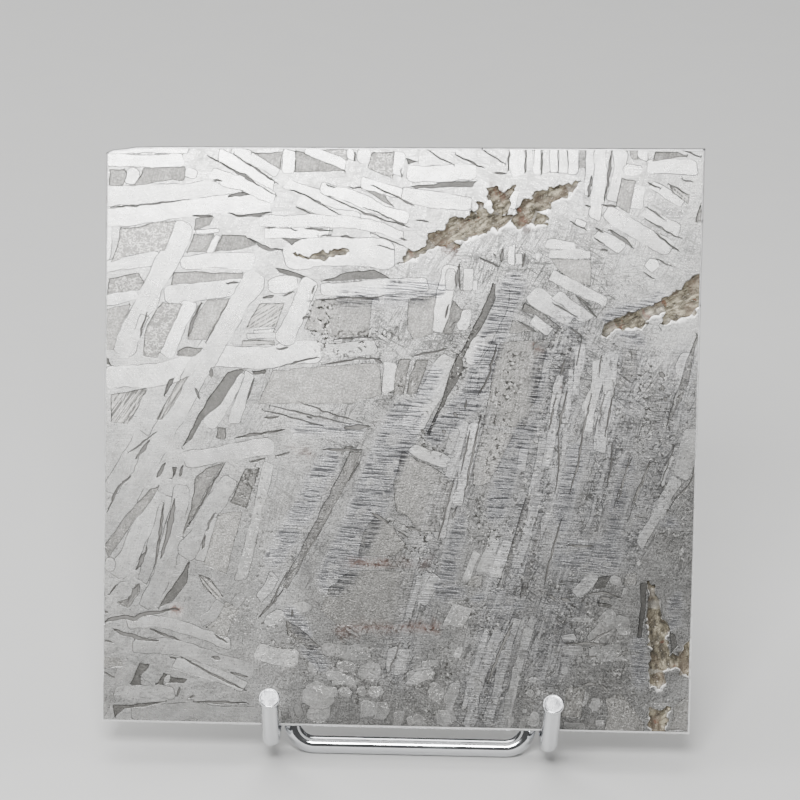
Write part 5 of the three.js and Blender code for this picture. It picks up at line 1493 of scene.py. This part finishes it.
@dataclass(frozen=True)
class EtchedIron:
    """Bright bands of iron, each with its own sheen, fine grain and saw lines.

    Attributes:
        brightness: The usual brightness of the metal.
        roughness: How matt it is.
        seam_dark: How bright the seams are, as a share of the metal beside them.
        line_dark: How bright the fine line-work between the bands is, as such a share.
        ground_dark: How bright the ground between the bands is under the strongest painted shade and dulling, as such
            a share.
    """

    brightness: float = 0.86
    roughness: float = 0.272
    seam_dark: float = 0.17
    line_dark: float = 0.2
    ground_dark: float = 0.68

    def make(self) -> bpy.types.Material:
        """Makes the finish.

        Returns:
            The finish.
        """
        tree = Tree("etched_iron")
        place = tree.place()
        worked = tree.spread(tree.mark("dulled"), 0.0, 0.5, 0.5)
        busy = tree.times(tree.mark("busy"), worked)
        clouds = tree.spread(tree.noise(place, 0.45, 4.0, 0.6), 0.3, 0.7, 0.82, 1.06)
        mottle = tree.spread(tree.noise(place, 2.1, 4.0, 0.65), 0.3, 0.7, 0.86, 1.06)
        grain = tree.noise(place, 5.0, 3.0, 0.65)
        calm = tree.spread(grain, 0.3, 0.7, 0.9, 1.05)
        rough_grain = tree.spread(grain, 0.38, 0.58, 0.45, 1.12)
        lines = tree.spread(tree.streaks(place, tree.mark("slant"), 4.0, 0.25), 0.35, 0.65, 0.9, 1.04)
        saw = tree.spread(tree.streaks(place, LEVEL, 6.0, 0.12), 0.35, 0.65, 0.9, 1.03)
        seam = tree.spread(tree.mark("seam"), 0.0, 0.5)
        seam = tree.times(seam, tree.spread(tree.mark("dulled"), 0.1, 0.6, 1.0, 0.7))
        value = tree.times(tree.mark("tone"), self.brightness, clouds, mottle, lines, saw)
        value = tree.times(value, tree.mix(tree.times(busy, 0.9), calm, rough_grain))
        # Painted shade with dulling: the busy ground between the bands is darkened where the dulled mark lies.
        value = tree.times(value, tree.mix(tree.times(tree.mark("busy"), tree.mark("dulled")), 1.0, self.ground_dark))
        web = None
        for number, (turn, length, width) in enumerate(LINE_RUNS):
            here = tree.spread(tree.noise(tree.moved(place, 7.3 * number), 0.16, 2.0), 0.42, 0.54, 0.05)
            run = tree.times(tree.creases(place, turn, length, width, 0.06), here)
            run = tree.times(run, 0.85)
            web = run if web is None else tree.most(web, run)
        specks = tree.spread(tree.noise(place, 3.0, 3.0, 0.6), 0.52, 0.58)
        dashes = tree.spread(tree.streaks(place, LEVEL, 1.0, 0.15, 1.0), 0.58, 0.66, 0.0, 0.9)
        broken = tree.spread(tree.noise(place, 0.7, 3.0, 0.6), 0.42, 0.58, 0.1, 0.9)
        uncut = tree.spread(tree.mark("scratched"), 0.0, 0.7, 1.0, 0.15)
        web = tree.times(tree.most(web, tree.times(tree.most(specks, dashes), broken)), busy)
        web = tree.times(web, uncut)
        value = tree.times(value, tree.mix(web, 1.0, self.line_dark), tree.mix(seam, 1.0, self.seam_dark))
        tint = tree.blend(tree.noise(place, 0.25, 2.0), (1.0, 0.98, 0.94), (0.98, 0.985, 0.97))
        clean = tree.blend(1.0, tree.grey(value), tint, "MULTIPLY")
        # Painted highlight: pale colour laid along the inclusions' rims by the lip mark.
        clean = tree.blend(tree.spread(tree.mark("lip"), 0.4, 0.75, 0.0, 0.9), clean, (0.97, 0.96, 0.93))
        rough = tree.math("ADD", self.roughness, tree.times(tree.most(seam, web), 0.3))
        colour, metal, roughness, height = WornMetal().over(tree, clean, rough)
        tree.bump(tree.math("ADD", height, tree.times(grain, 0.5)), 0.000016)
        return tree.finish(colour, metal, roughness)


class Weave(Enum):
    """How the fine metal in a window is grown; the values are its brightness and its fine lines' brightness."""

    PLAIN = (0.23, 0.41)
    COMB = (0.13, 0.47)
    NET = (0.22, 0.6)
    DARK = (0.105, 0.15)


@dataclass(frozen=True)
class FineField:
    """A window of fine-grained metal, with painted shade darkening it along its sides.

    Attributes:
        weave: How it is grown.
        roughness: How matt it is.
    """

    weave: Weave
    roughness: float = 0.38

    def make(self) -> bpy.types.Material:
        """Makes the finish.

        Returns:
            The finish.
        """
        tree = Tree(f"{self.weave.name.lower()}_field")
        place = tree.place()
        dark, light = self.weave.value
        if self.weave is Weave.COMB:
            along = tree.spread(tree.streaks(place, tree.mark("slant"), 4.5, 0.14, 1.0), 0.46, 0.57)
            across = tree.spread(tree.streaks(place, 1.25, 3.0, 0.2, 1.0), 0.56, 0.62, 0.0, 0.8)
            figure = tree.most(along, across)
        elif self.weave is Weave.NET:
            worms = tree.creases(place, LEVEL, 0.5, 0.4, 0.1)
            figure = tree.math("MULTIPLY", worms, tree.spread(tree.noise(place, 1.2, 2.0), 0.36, 0.56, 0.25))
        elif self.weave is Weave.PLAIN:
            sand = tree.spread(tree.noise(place, 3.6, 3.0, 0.7), 0.36, 0.62, 0.1)
            drawn = tree.spread(tree.streaks(place, 1.31, 1.8, 0.18), 0.42, 0.6, 0.5)
            figure = tree.times(sand, drawn, tree.spread(tree.noise(place, 0.9, 4.0, 0.7), 0.3, 0.6, 0.5))
        else:
            figure = tree.noise(place, 1.6, 4.0, 0.6)
        grain = tree.spread(tree.noise(place, 5.0, 3.0, 0.65), 0.3, 0.7, 0.82, 1.1)
        clouds = tree.spread(tree.noise(place, 0.6, 3.0, 0.6), 0.3, 0.7, 0.86, 1.08)
        # Painted shade: the window darkens towards its edges, where it lies recessed below the bands.
        sides = tree.spread(tree.mark("depth"), 0.0, 0.35, 0.84)
        value = tree.times(tree.spread(figure, 0.0, 1.0, dark, light), tree.mark("tone"), grain, clouds, sides)
        clean = tree.blend(1.0, tree.grey(value), (1.0, 0.98, 0.93), "MULTIPLY")
        colour, metal, roughness, height = WornMetal().over(tree, clean, self.roughness)
        tree.bump(tree.math("ADD", height, tree.noise(place, 4.0, 4.0, 0.7)), 0.00004)
        return tree.finish(colour, metal, roughness)


@dataclass(frozen=True)
class OpenGap:
    """The dark bottom of an etched gap.

    Attributes:
        colour: Its colour.
    """

    colour: Colour = (0.175, 0.171, 0.162)

    def make(self) -> bpy.types.Material:
        """Makes the finish.

        Returns:
            The finish.
        """
        tree = Tree("open_gap")
        cloud = tree.noise(tree.place(), 2.0, 3.0)
        colour = tree.blend(tree.spread(cloud, 0.4, 0.7, 0.0, 0.7), self.colour, (0.22, 0.215, 0.21))
        return tree.finish(colour, 0.6, 0.6)


@dataclass(frozen=True)
class Inclusion:
    """Granular brown sulphide, rough and hardly metallic.

    Attributes:
        pale: The colour of its grains.
        deep: The colour between them.
    """

    pale: Colour = (0.44, 0.395, 0.295)
    deep: Colour = (0.09, 0.077, 0.055)

    def make(self) -> bpy.types.Material:
        """Makes the finish.

        Returns:
            The finish.
        """
        tree = Tree("inclusion")
        place = tree.place()
        crumbs = tree.streaks(place, tree.mark("slant"), 1.0, 0.5, 4.0)
        cracks = tree.mix(tree.creases(place, 0.4, 1.4, 0.6, 0.05), 1.0, 0.4)
        colour = tree.blend(tree.spread(crumbs, 0.34, 0.7), self.deep, self.pale)
        colour = tree.blend(1.0, colour, tree.grey(cracks), "MULTIPLY")
        brown = tree.spread(tree.noise(tree.moved(place, 3.0), 0.35, 3.0), 0.48, 0.62, 0.0, 0.5)
        colour = tree.blend(brown, colour, (0.15, 0.112, 0.084))
        red = tree.spread(tree.noise(place, 0.7, 2.0), 0.64, 0.7, 0.0, 0.6)
        colour = tree.blend(red, colour, (0.17, 0.06, 0.035))
        # Painted glints: pale specks laid into the inclusion's colour.
        painted_glints = tree.spread(tree.noise(place, 5.0, 2.0), 0.62, 0.7, 0.0, 0.6)
        colour = tree.blend(painted_glints, colour, (0.6, 0.57, 0.48))
        # Painted shade: the inclusion is darkened where the dulled mark lies.
        shade = tree.spread(tree.mark("dulled"), 0.0, 1.0, 1.0, 0.5)
        colour = tree.blend(1.0, colour, tree.grey(shade), "MULTIPLY")
        rust = tree.times(tree.mark("rusted"), tree.spread(tree.noise(place, 2.4, 4.0, 0.65), 0.38, 0.55, 0.0, 0.9))
        colour = tree.blend(rust, colour, WornMetal().rust_colour)
        # Painted highlight: pale colour along the rim where the lip mark lies.
        lip = tree.times(tree.mark("lip"), tree.spread(tree.mark("depth"), 0.0, 0.11, 1.0, 0.0))
        colour = tree.blend(lip, colour, (0.95, 0.93, 0.88))
        tree.bump(crumbs, 0.00025)
        return tree.finish(colour, tree.spread(crumbs, 0.35, 0.65, 0.45, 0.9), 0.55)


@dataclass(frozen=True)
class SawnEdge:
    """The bright sawn edge round the slice, with fine lines from the saw.

    Attributes:
        brightness: How bright the metal is.
    """

    brightness: float = 0.92

    def make(self) -> bpy.types.Material:
        """Makes the finish.

        Returns:
            The finish.
        """
        tree = Tree("sawn_edge")
        place = tree.place()
        lines = tree.noise(tree.stretched(place, (0.5, 0.5, 9.0)), 1.0, 3.0)
        value = tree.times(tree.spread(lines, 0.3, 0.7, 0.9, 1.04), self.brightness)
        stain = tree.spread(tree.noise(place, 0.5, 4.0, 0.6), 0.58, 0.7, 0.0, 0.45)
        colour = tree.blend(stain, tree.grey(value), (0.4, 0.36, 0.31))
        tree.bump(lines, 0.00003)
        return tree.finish(colour, 1.0, tree.spread(lines, 0.3, 0.7, 0.26, 0.38))


@dataclass(frozen=True)
class Chrome:
    """Chrome plate on drawn rod.

    Attributes:
        colour: Its colour.
        roughness: How matt it is.
    """

    colour: Colour = (0.72, 0.73, 0.75)
    roughness: float = 0.07

    def make(self) -> bpy.types.Material:
        """Makes the finish.

        Returns:
            The finish.
        """
        tree = Tree("chrome")
        where = tree.world()
        smear = tree.noise(where, 180.0, 3.0, 0.6)
        roughness = tree.math("ADD", self.roughness, tree.spread(smear, 0.45, 0.75, 0.0, 0.12))
        tree.bump(tree.noise(where, 420.0, 2.0), 0.00002)
        return tree.finish(self.colour, 1.0, roughness)


@dataclass(frozen=True)
class ShearedSteel:
    """The frosted end of a sheared and plated rod.

    Attributes:
        colour: Its colour.
    """

    colour: Colour = (0.8, 0.81, 0.83)

    def make(self) -> bpy.types.Material:
        """Makes the finish.

        Returns:
            The finish.
        """
        tree = Tree("sheared_end")
        where = tree.world()
        grain = tree.noise(where, 2600.0, 3.0, 0.6)
        dents = tree.spread(tree.noise(where, 1100.0, 2.0), 0.48, 0.6, 0.0, 0.6)
        colour = tree.blend(tree.spread(grain, 0.45, 0.7, 0.0, 0.35), self.colour, (0.45, 0.45, 0.47))
        colour = tree.blend(dents, colour, (0.36, 0.36, 0.38))
        tree.bump(grain, 0.00006)
        return tree.finish(colour, 1.0, 0.38)


@dataclass(frozen=True)
class PaleTop:
    """The plain pale table that the stand rests on.

    Attributes:
        colour: Its colour.
    """

    colour: Colour = (0.62, 0.62, 0.61)

    def make(self) -> bpy.types.Material:
        """Makes the finish.

        Returns:
            The finish.
        """
        tree = Tree("pale_top")
        fine = tree.noise(tree.world(), 90.0, 3.0)
        colour = tree.blend(tree.spread(fine, 0.3, 0.7, 0.0, 0.06), self.colour, (0.5, 0.5, 0.49))
        return tree.finish(colour, 0.0, 0.7)


# The stand's rod and its bends, in mm.
ROD_RADIUS = 1.2
ROD_SIDES = 32
BEND_STEPS = 12
BEHIND = -(THICKNESS + 0.3 + ROD_RADIUS)
STAND_CENTRE = 2.0
LEG_HALF_SPACING = 16.0
BAR_DROP = 2.8
LEG_RISE = 50.0
FRAME_BEND = 3.0
TOP_BEND = 3.6
HOOK_OFFSET = LEG_HALF_SPACING + 2 * ROD_RADIUS + 0.3
HOOK_DROP = 1.6
HOOK_RISE = 24.0
HOOK_BEND = 2.2
PRONG_BEND = 4.0
PRONG_SLOPE = math.radians(31)
PRONG_END_V = 4.8
PRONG_START_N = -0.2
JOINT_SHARE = 0.45
JOINT_GAP = 0.4


@dataclass
class BentRod:
    """A rod bent at its corners.

    Attributes:
        corners: The corner points, u, v and n.
        radii: The bend radius at each corner between the ends.
    """

    corners: list[np.ndarray]
    radii: list[float]

    def stations(self) -> tuple[np.ndarray, np.ndarray]:
        """Walks along the rod's middle.

        Returns:
            The middle points and the directions there.
        """
        ends = [np.asarray(c, float) for c in self.corners]
        points = [ends[0]]
        headings = [unit(ends[1] - ends[0])]
        for before, corner, after, radius in zip(ends, ends[1:], ends[2:], self.radii):
            into, out = unit(corner - before), unit(after - corner)
            turn = math.acos(float(np.clip(into @ out, -1.0, 1.0)))
            start = corner - into * radius * math.tan(turn / 2)
            axis = unit(np.cross(into, out))
            centre = start + np.cross(axis, into) * radius
            for step in range(BEND_STEPS + 1):
                spin = np.array(Matrix.Rotation(turn * step / BEND_STEPS, 3, Vector(axis)))
                points.append(centre + spin @ (start - centre))
                headings.append(spin @ into)
        points.append(ends[-1])
        headings.append(unit(ends[-1] - ends[-2]))
        return np.array(points), np.array(headings)

    def rings(self, first_side: np.ndarray) -> list[np.ndarray]:
        """Runs a ring of points round each station.

        Args:
            first_side: A direction across the rod at its start.

        Returns:
            The rings.
        """
        middles, headings = self.stations()
        side = unit(first_side - headings[0] * (first_side @ headings[0]))
        made = []
        for number, (middle, heading) in enumerate(zip(middles, headings)):
            if number:
                turn = Vector(headings[number - 1]).rotation_difference(Vector(heading))
                side = np.array(turn @ Vector(side))
            made.append(middle + circle(side, np.cross(heading, side), ROD_SIDES) * ROD_RADIUS)
        return made


def unit(vector: np.ndarray) -> np.ndarray:
    """Scales a vector to length 1."""
    return vector / np.linalg.norm(vector)


def circle(side: np.ndarray, other: np.ndarray, count: int) -> np.ndarray:
    """Spaces points round a circle of radius 1, from one direction across it towards the other."""
    angles = np.arange(count) * 2 * math.pi / count
    return np.outer(np.cos(angles), side) + np.outer(np.sin(angles), other)


def tube(rings: int, sides: int) -> list[tuple[int, ...]]:
    """Numbers the faces between rings of points, and those that close both ends on two tips, which come last.

    Args:
        rings: How many rings there are.
        sides: How many points each ring has.

    Returns:
        The faces, facing outwards when the rings run along their axis.
    """
    pairs = [(k, (k + 1) % sides) for k in range(sides)]
    last, tip = (rings - 1) * sides, rings * sides
    made = [(r + a, r + b, r + b + sides, r + a + sides) for r in range(0, last, sides) for a, b in pairs]
    made += [(tip, b, a) for a, b in pairs]
    return made + [(tip + 1, last + a, last + b) for a, b in pairs]


@dataclass(frozen=True)
class RodEnd:
    """The shape of a rod's end.

    Attributes:
        profile: Radius and distance beyond the rod's last point, ring by ring, in mm.
        frosted_from: The ring at which the sheared face starts.
    """

    profile: tuple[tuple[float, float], ...]
    frosted_from: int


PLAIN_END = RodEnd(((1.2, -0.25), (1.17, -0.1), (1.08, 0.0), (0.6, 0.0)), 2)
LIPPED_END = RodEnd(
    (
        (1.2, -1.25), (1.2, -1.0), (1.24, -0.78), (1.33, -0.58), (1.4, -0.4), (1.42, -0.2), (1.4, -0.05),
        (1.33, 0.05), (1.24, 0.09), (1.16, 0.05), (1.08, 0.02), (0.8, 0.05), (0.4, 0.07),
    ),
    8,
)


@dataclass
class Skin:
    """A mesh in the making.

    Attributes:
        points: Runs of points, u, v and n.
        faces: Faces, by the points' numbers.
        slots: The finish of each face.
    """

    points: list[np.ndarray] = field(default_factory=list)
    faces: list[tuple[int, ...]] = field(default_factory=list)
    slots: list[int] = field(default_factory=list)

    BEAD_SIDES = 20
    BEAD_RINGS = 16

    def add(self, rings: list[np.ndarray], tips: tuple[np.ndarray, np.ndarray], slots: list[int]) -> None:
        """Adds a closed tube.

        Args:
            rings: Its rings of points.
            tips: The points that close its first and its last ring.
            slots: The finish of the faces between the rings and of those beyond them, by ring.
        """
        first = sum(len(run) for run in self.points)
        sides = len(rings[0])
        self.points.append(np.vstack([*rings, *tips]))
        self.faces += [tuple(first + k for k in face) for face in tube(len(rings), sides)]
        self.slots += [slot for slot in slots for _ in range(sides)]

    def add_rod(self, rod: BentRod, first_side: np.ndarray, start: RodEnd, end: RodEnd) -> None:
        """Adds a closed rod with shaped ends.

        Args:
            rod: The rod.
            first_side: A direction across the rod at its start.
            start: The shape of its first end.
            end: The shape of its last end.
        """
        middles, headings = rod.stations()
        rings = rod.rings(first_side)
        head = (rings[0] - middles[0]) / ROD_RADIUS
        tail = (rings[-1] - middles[-1]) / ROD_RADIUS
        opening = [middles[0] - headings[0] * away + head * radius for radius, away in reversed(start.profile)]
        closing = [middles[-1] + headings[-1] * away + tail * radius for radius, away in end.profile]
        every = [*opening, *rings[1:-1], *closing]
        first = middles[0] - headings[0] * start.profile[-1][1]
        last = middles[-1] + headings[-1] * end.profile[-1][1]
        opened = len(start.profile) - 1 - start.frosted_from
        closed = len(every) - len(end.profile) + end.frosted_from
        slots = [0 if opened <= ring < closed else 1 for ring in range(len(every) - 1)]
        self.add(every, (first, last), [*slots, 1, 1])

    def add_bead(self, middle: np.ndarray, axis: np.ndarray, half: tuple[float, float], seed: int) -> None:
        """Adds a lumpy bead of weld metal.

        Args:
            middle: Its middle.
            axis: The direction of its length.
            half: Half its length and half its thickness.
            seed: What its lumps start from.
        """
        rng = np.random.default_rng(seed)
        along = unit(axis)
        side = unit(np.cross(along, (0.31, 0.17, 0.93)))
        ring = circle(side, np.cross(along, side), self.BEAD_SIDES)
        layers = []
        for number in range(1, self.BEAD_RINGS):
            share = math.pi * number / self.BEAD_RINGS
            swell = 1 + 0.07 * math.sin(5 * share + rng.uniform(0, 0.6))
            radius = half[1] * math.sin(share) ** 0.7 * swell * (1 + 0.04 * rng.normal(size=(self.BEAD_SIDES, 1)))
            layers.append(middle - along * half[0] * math.cos(share) + ring * radius)
        tips = (middle - along * half[0], middle + along * half[0])
        self.add(layers, tips, [0] * (len(layers) + 1))

    def piece(self, name: str, finishes: list[bpy.types.Material]) -> bpy.types.Object:
        """Turns the skin into a piece of the scene.

        Args:
            name: The piece's name.
            finishes: Its finishes, by number.

        Returns:
            The piece.
        """
        made = piece_of(name, np.vstack(self.points), self.faces, np.array(self.slots), np.ones(len(self.faces), bool))
        for finish in finishes:
            made.data.materials.append(finish)
        return made


@dataclass
class StandFrame:
    """The loop of rod behind and under the slice: front bar, legs, rounded tops, struts and rear bar.

    Attributes:
        finishes: Chrome, and the finish of sheared ends.
    """

    finishes: list[bpy.types.Material]

    def build(self) -> bpy.types.Object:
        """Makes the loop and the weld that closes it.

        Returns:
            The piece.
        """
        up = np.array([0.0, math.cos(LEAN), math.sin(LEAN)])
        back = np.array([0.0, math.sin(LEAN), -math.cos(LEAN)])
        front = np.array([0.0, -BAR_DROP, BEHIND])
        rear = front + back * 2 * (LEG_RISE + BAR_DROP) * math.sin(LEAN)
        top = np.array([0.0, LEG_RISE, BEHIND])
        left = np.array([STAND_CENTRE - LEG_HALF_SPACING, 0.0, 0.0])
        right = np.array([STAND_CENTRE + LEG_HALF_SPACING, 0.0, 0.0])
        strut = unit(rear - top)
        joint = right + rear + (top - rear) * JOINT_SHARE
        corners = [
            joint + strut * JOINT_GAP / 2, right + rear, left + rear, left + top,
            left + front, right + front, right + top, joint - strut * JOINT_GAP / 2,
        ]
        radii = [FRAME_BEND, FRAME_BEND, TOP_BEND, FRAME_BEND, FRAME_BEND, TOP_BEND]
        skin = Skin()
        across = np.cross(strut, up)
        skin.add_rod(BentRod(corners, radii), across, PLAIN_END, PLAIN_END)
        skin.add_bead(joint, strut, (1.15, 1.42), 4)
        return skin.piece("frame_rod", self.finishes)


@dataclass
class Hook:
    """A hook: down behind the slice, under its lower edge, and up in front of it to a sheared lip.

    Attributes:
        side: -1 for the left hook and 1 for the right.
        finishes: Chrome, and the finish of sheared ends.
    """

    side: int
    finishes: list[bpy.types.Material]

    WELDS_AT = (7.0, 19.0)

    def build(self) -> bpy.types.Object:
        """Makes the hook and its two welds to the leg beside it.

        Returns:
            The piece.
        """
        u = STAND_CENTRE + self.side * HOOK_OFFSET
        bend_n = PRONG_START_N + PRONG_BEND * math.tan(PRONG_SLOPE / 2)
        end_n = bend_n + (PRONG_END_V + HOOK_DROP) / math.tan(PRONG_SLOPE)
        corners = [
            np.array([u, HOOK_RISE, BEHIND]), np.array([u, -HOOK_DROP, BEHIND]),
            np.array([u, -HOOK_DROP, bend_n]), np.array([u, PRONG_END_V, end_n]),
        ]
        skin = Skin()
        skin.add_rod(BentRod(corners, [HOOK_BEND, PRONG_BEND]), np.array([1.0, 0.0, 0.0]), PLAIN_END, LIPPED_END)
        between = STAND_CENTRE + self.side * (LEG_HALF_SPACING + HOOK_OFFSET) / 2
        for number, v in enumerate(self.WELDS_AT):
            middle = np.array([between, v, BEHIND - 0.55])
            skin.add_bead(middle, np.array([0.0, 1.0, 0.0]), (2.1, 0.75), 11 + number + self.side)
        return skin.piece("hook_rod_left" if self.side < 0 else "hook_rod_right", self.finishes)


@dataclass(frozen=True)
class SoftBox:
    """A flat soft light.

    Attributes:
        name: Its name.
        spot: Where it is, in metres.
        aim: What it points at.
        size: Its width and height.
        power: Its power in watts.
    """

    name: str
    spot: Colour
    aim: Colour
    size: tuple[float, float]
    power: float

    def hang(self) -> None:
        """Adds the light to the scene."""
        data = bpy.data.lights.new(self.name, "AREA")
        data.shape = "RECTANGLE"
        data.size, data.size_y = self.size
        data.energy = self.power
        lamp = shown(self.name, data)
        lamp.location = self.spot
        lamp.rotation_euler = (Vector(self.aim) - Vector(self.spot)).to_track_quat("-Z", "Y").to_euler()


@dataclass(frozen=True)
class Studio:
    """The pale table, the light and the camera.

    Attributes:
        boxes: The lights.
        sky: How bright the room is.
        table_half: Half the table's width, in metres.
        view_point: What the camera points at, u and v.
        view_distance: How far in front of the slice it stands, in mm.
        view_roll: How far it is rolled, in radians.
        lens: Its focal length, in mm.
        sensor: The width of its picture, in mm.
    """

    boxes: tuple[SoftBox, ...] = (
        SoftBox("key", (-0.044, -0.335, 0.339), (0.0, 0.0, 0.045), (0.18, 0.12), 2.6),
        SoftBox("overhead", (-0.2, 0.25, 0.9), (0.0, 0.05, 0.0), (0.9, 0.9), 12.0),
        SoftBox("left", (-0.7, -0.05, 0.3), (0.0, 0.0, 0.04), (0.3, 0.5), 2.0),
        SoftBox("right", (0.7, -0.05, 0.3), (0.0, 0.0, 0.04), (0.3, 0.5), 1.4),
    )
    sky: float = 0.1
    table_half: float = 3.0
    view_point: tuple[float, float] = (-0.371, 44.35)
    view_distance: float = 450.0
    view_roll: float = PHOTO_ROLL
    lens: float = 150.0
    sensor: float = 36.0

    def light(self) -> None:
        """Hangs the lights and brightens the room."""
        for box in self.boxes:
            box.hang()
        world = bpy.data.worlds.new("room")
        world.use_nodes = True
        background = world.node_tree.nodes["Background"]
        background.inputs["Color"].default_value = (1.0, 1.0, 1.0, 1.0)
        background.inputs["Strength"].default_value = self.sky
        bpy.context.scene.world = world

    def table(self) -> None:
        """Lays the pale table under the stand."""
        mesh = bpy.data.meshes.new("table")
        half = self.table_half
        corners = [(-half, -half, 0.0), (half, -half, 0.0), (half, half, 0.0), (-half, half, 0.0)]
        mesh.from_pydata(corners, [], [(0, 1, 2, 3)])
        mesh.materials.append(PaleTop().make())
        shown("table", mesh)

    def camera(self) -> None:
        """Sets the camera square to the slice, as the photograph was taken."""
        aim, spot = placed(np.array([[*self.view_point, 0.0], [*self.view_point, self.view_distance]]))
        back = unit(spot - aim)
        upward = np.array([0.0, math.sin(LEAN), math.cos(LEAN)])
        rightward = np.array([1.0, 0.0, 0.0])
        up = upward * math.cos(self.view_roll) - rightward * math.sin(self.view_roll)
        right = np.cross(up, back)
        data = bpy.data.cameras.new("camera")
        data.lens = self.lens
        data.sensor_width = self.sensor
        camera = shown("camera", data)
        camera.matrix_world = Matrix([*zip(right, up, back, spot), (0.0, 0.0, 0.0, 1.0)])
        bpy.context.scene.camera = camera


def build_slice() -> bpy.types.Object:
    """Builds the slice with its finishes.

    Returns:
        The slice.
    """
    front = FaceSheet(Pattern(0.29, 3), 0.08, 1.05)
    back = FaceSheet(Pattern(0.6, 5, REAR_SHIFT, 0.6), 0.18, 2.0)
    piece = MeteoriteSlice(front, back).build()
    finishes = [
        EtchedIron().make(),
        FineField(Weave.PLAIN).make(),
        FineField(Weave.COMB).make(),
        FineField(Weave.NET).make(),
        FineField(Weave.DARK, 0.45).make(),
        OpenGap().make(),
        Inclusion().make(),
        SawnEdge().make(),
    ]
    for finish in finishes:
        piece.data.materials.append(finish)
    return piece


def main() -> None:
    """Builds every piece, lights the scene and sets the camera."""
    logging.basicConfig(level=logging.INFO, format="%(name)s: %(message)s")
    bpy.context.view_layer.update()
    rod_finishes = [Chrome().make(), ShearedSteel().make()]
    pieces = (
        (build_slice(), "slice", "etched_iron"),
        (StandFrame(rod_finishes).build(), "stand_frame", "chromed_rod"),
        (Hook(-1, rod_finishes).build(), "hook_left", "chromed_rod"),
        (Hook(1, rod_finishes).build(), "hook_right", "chromed_rod"),
    )
    for piece, node, finish in pieces:
        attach(piece, "root")
        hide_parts(node)
    studio = Studio()
    studio.table()
    studio.light()
    studio.camera()


if __name__ == "__main__":
    main()
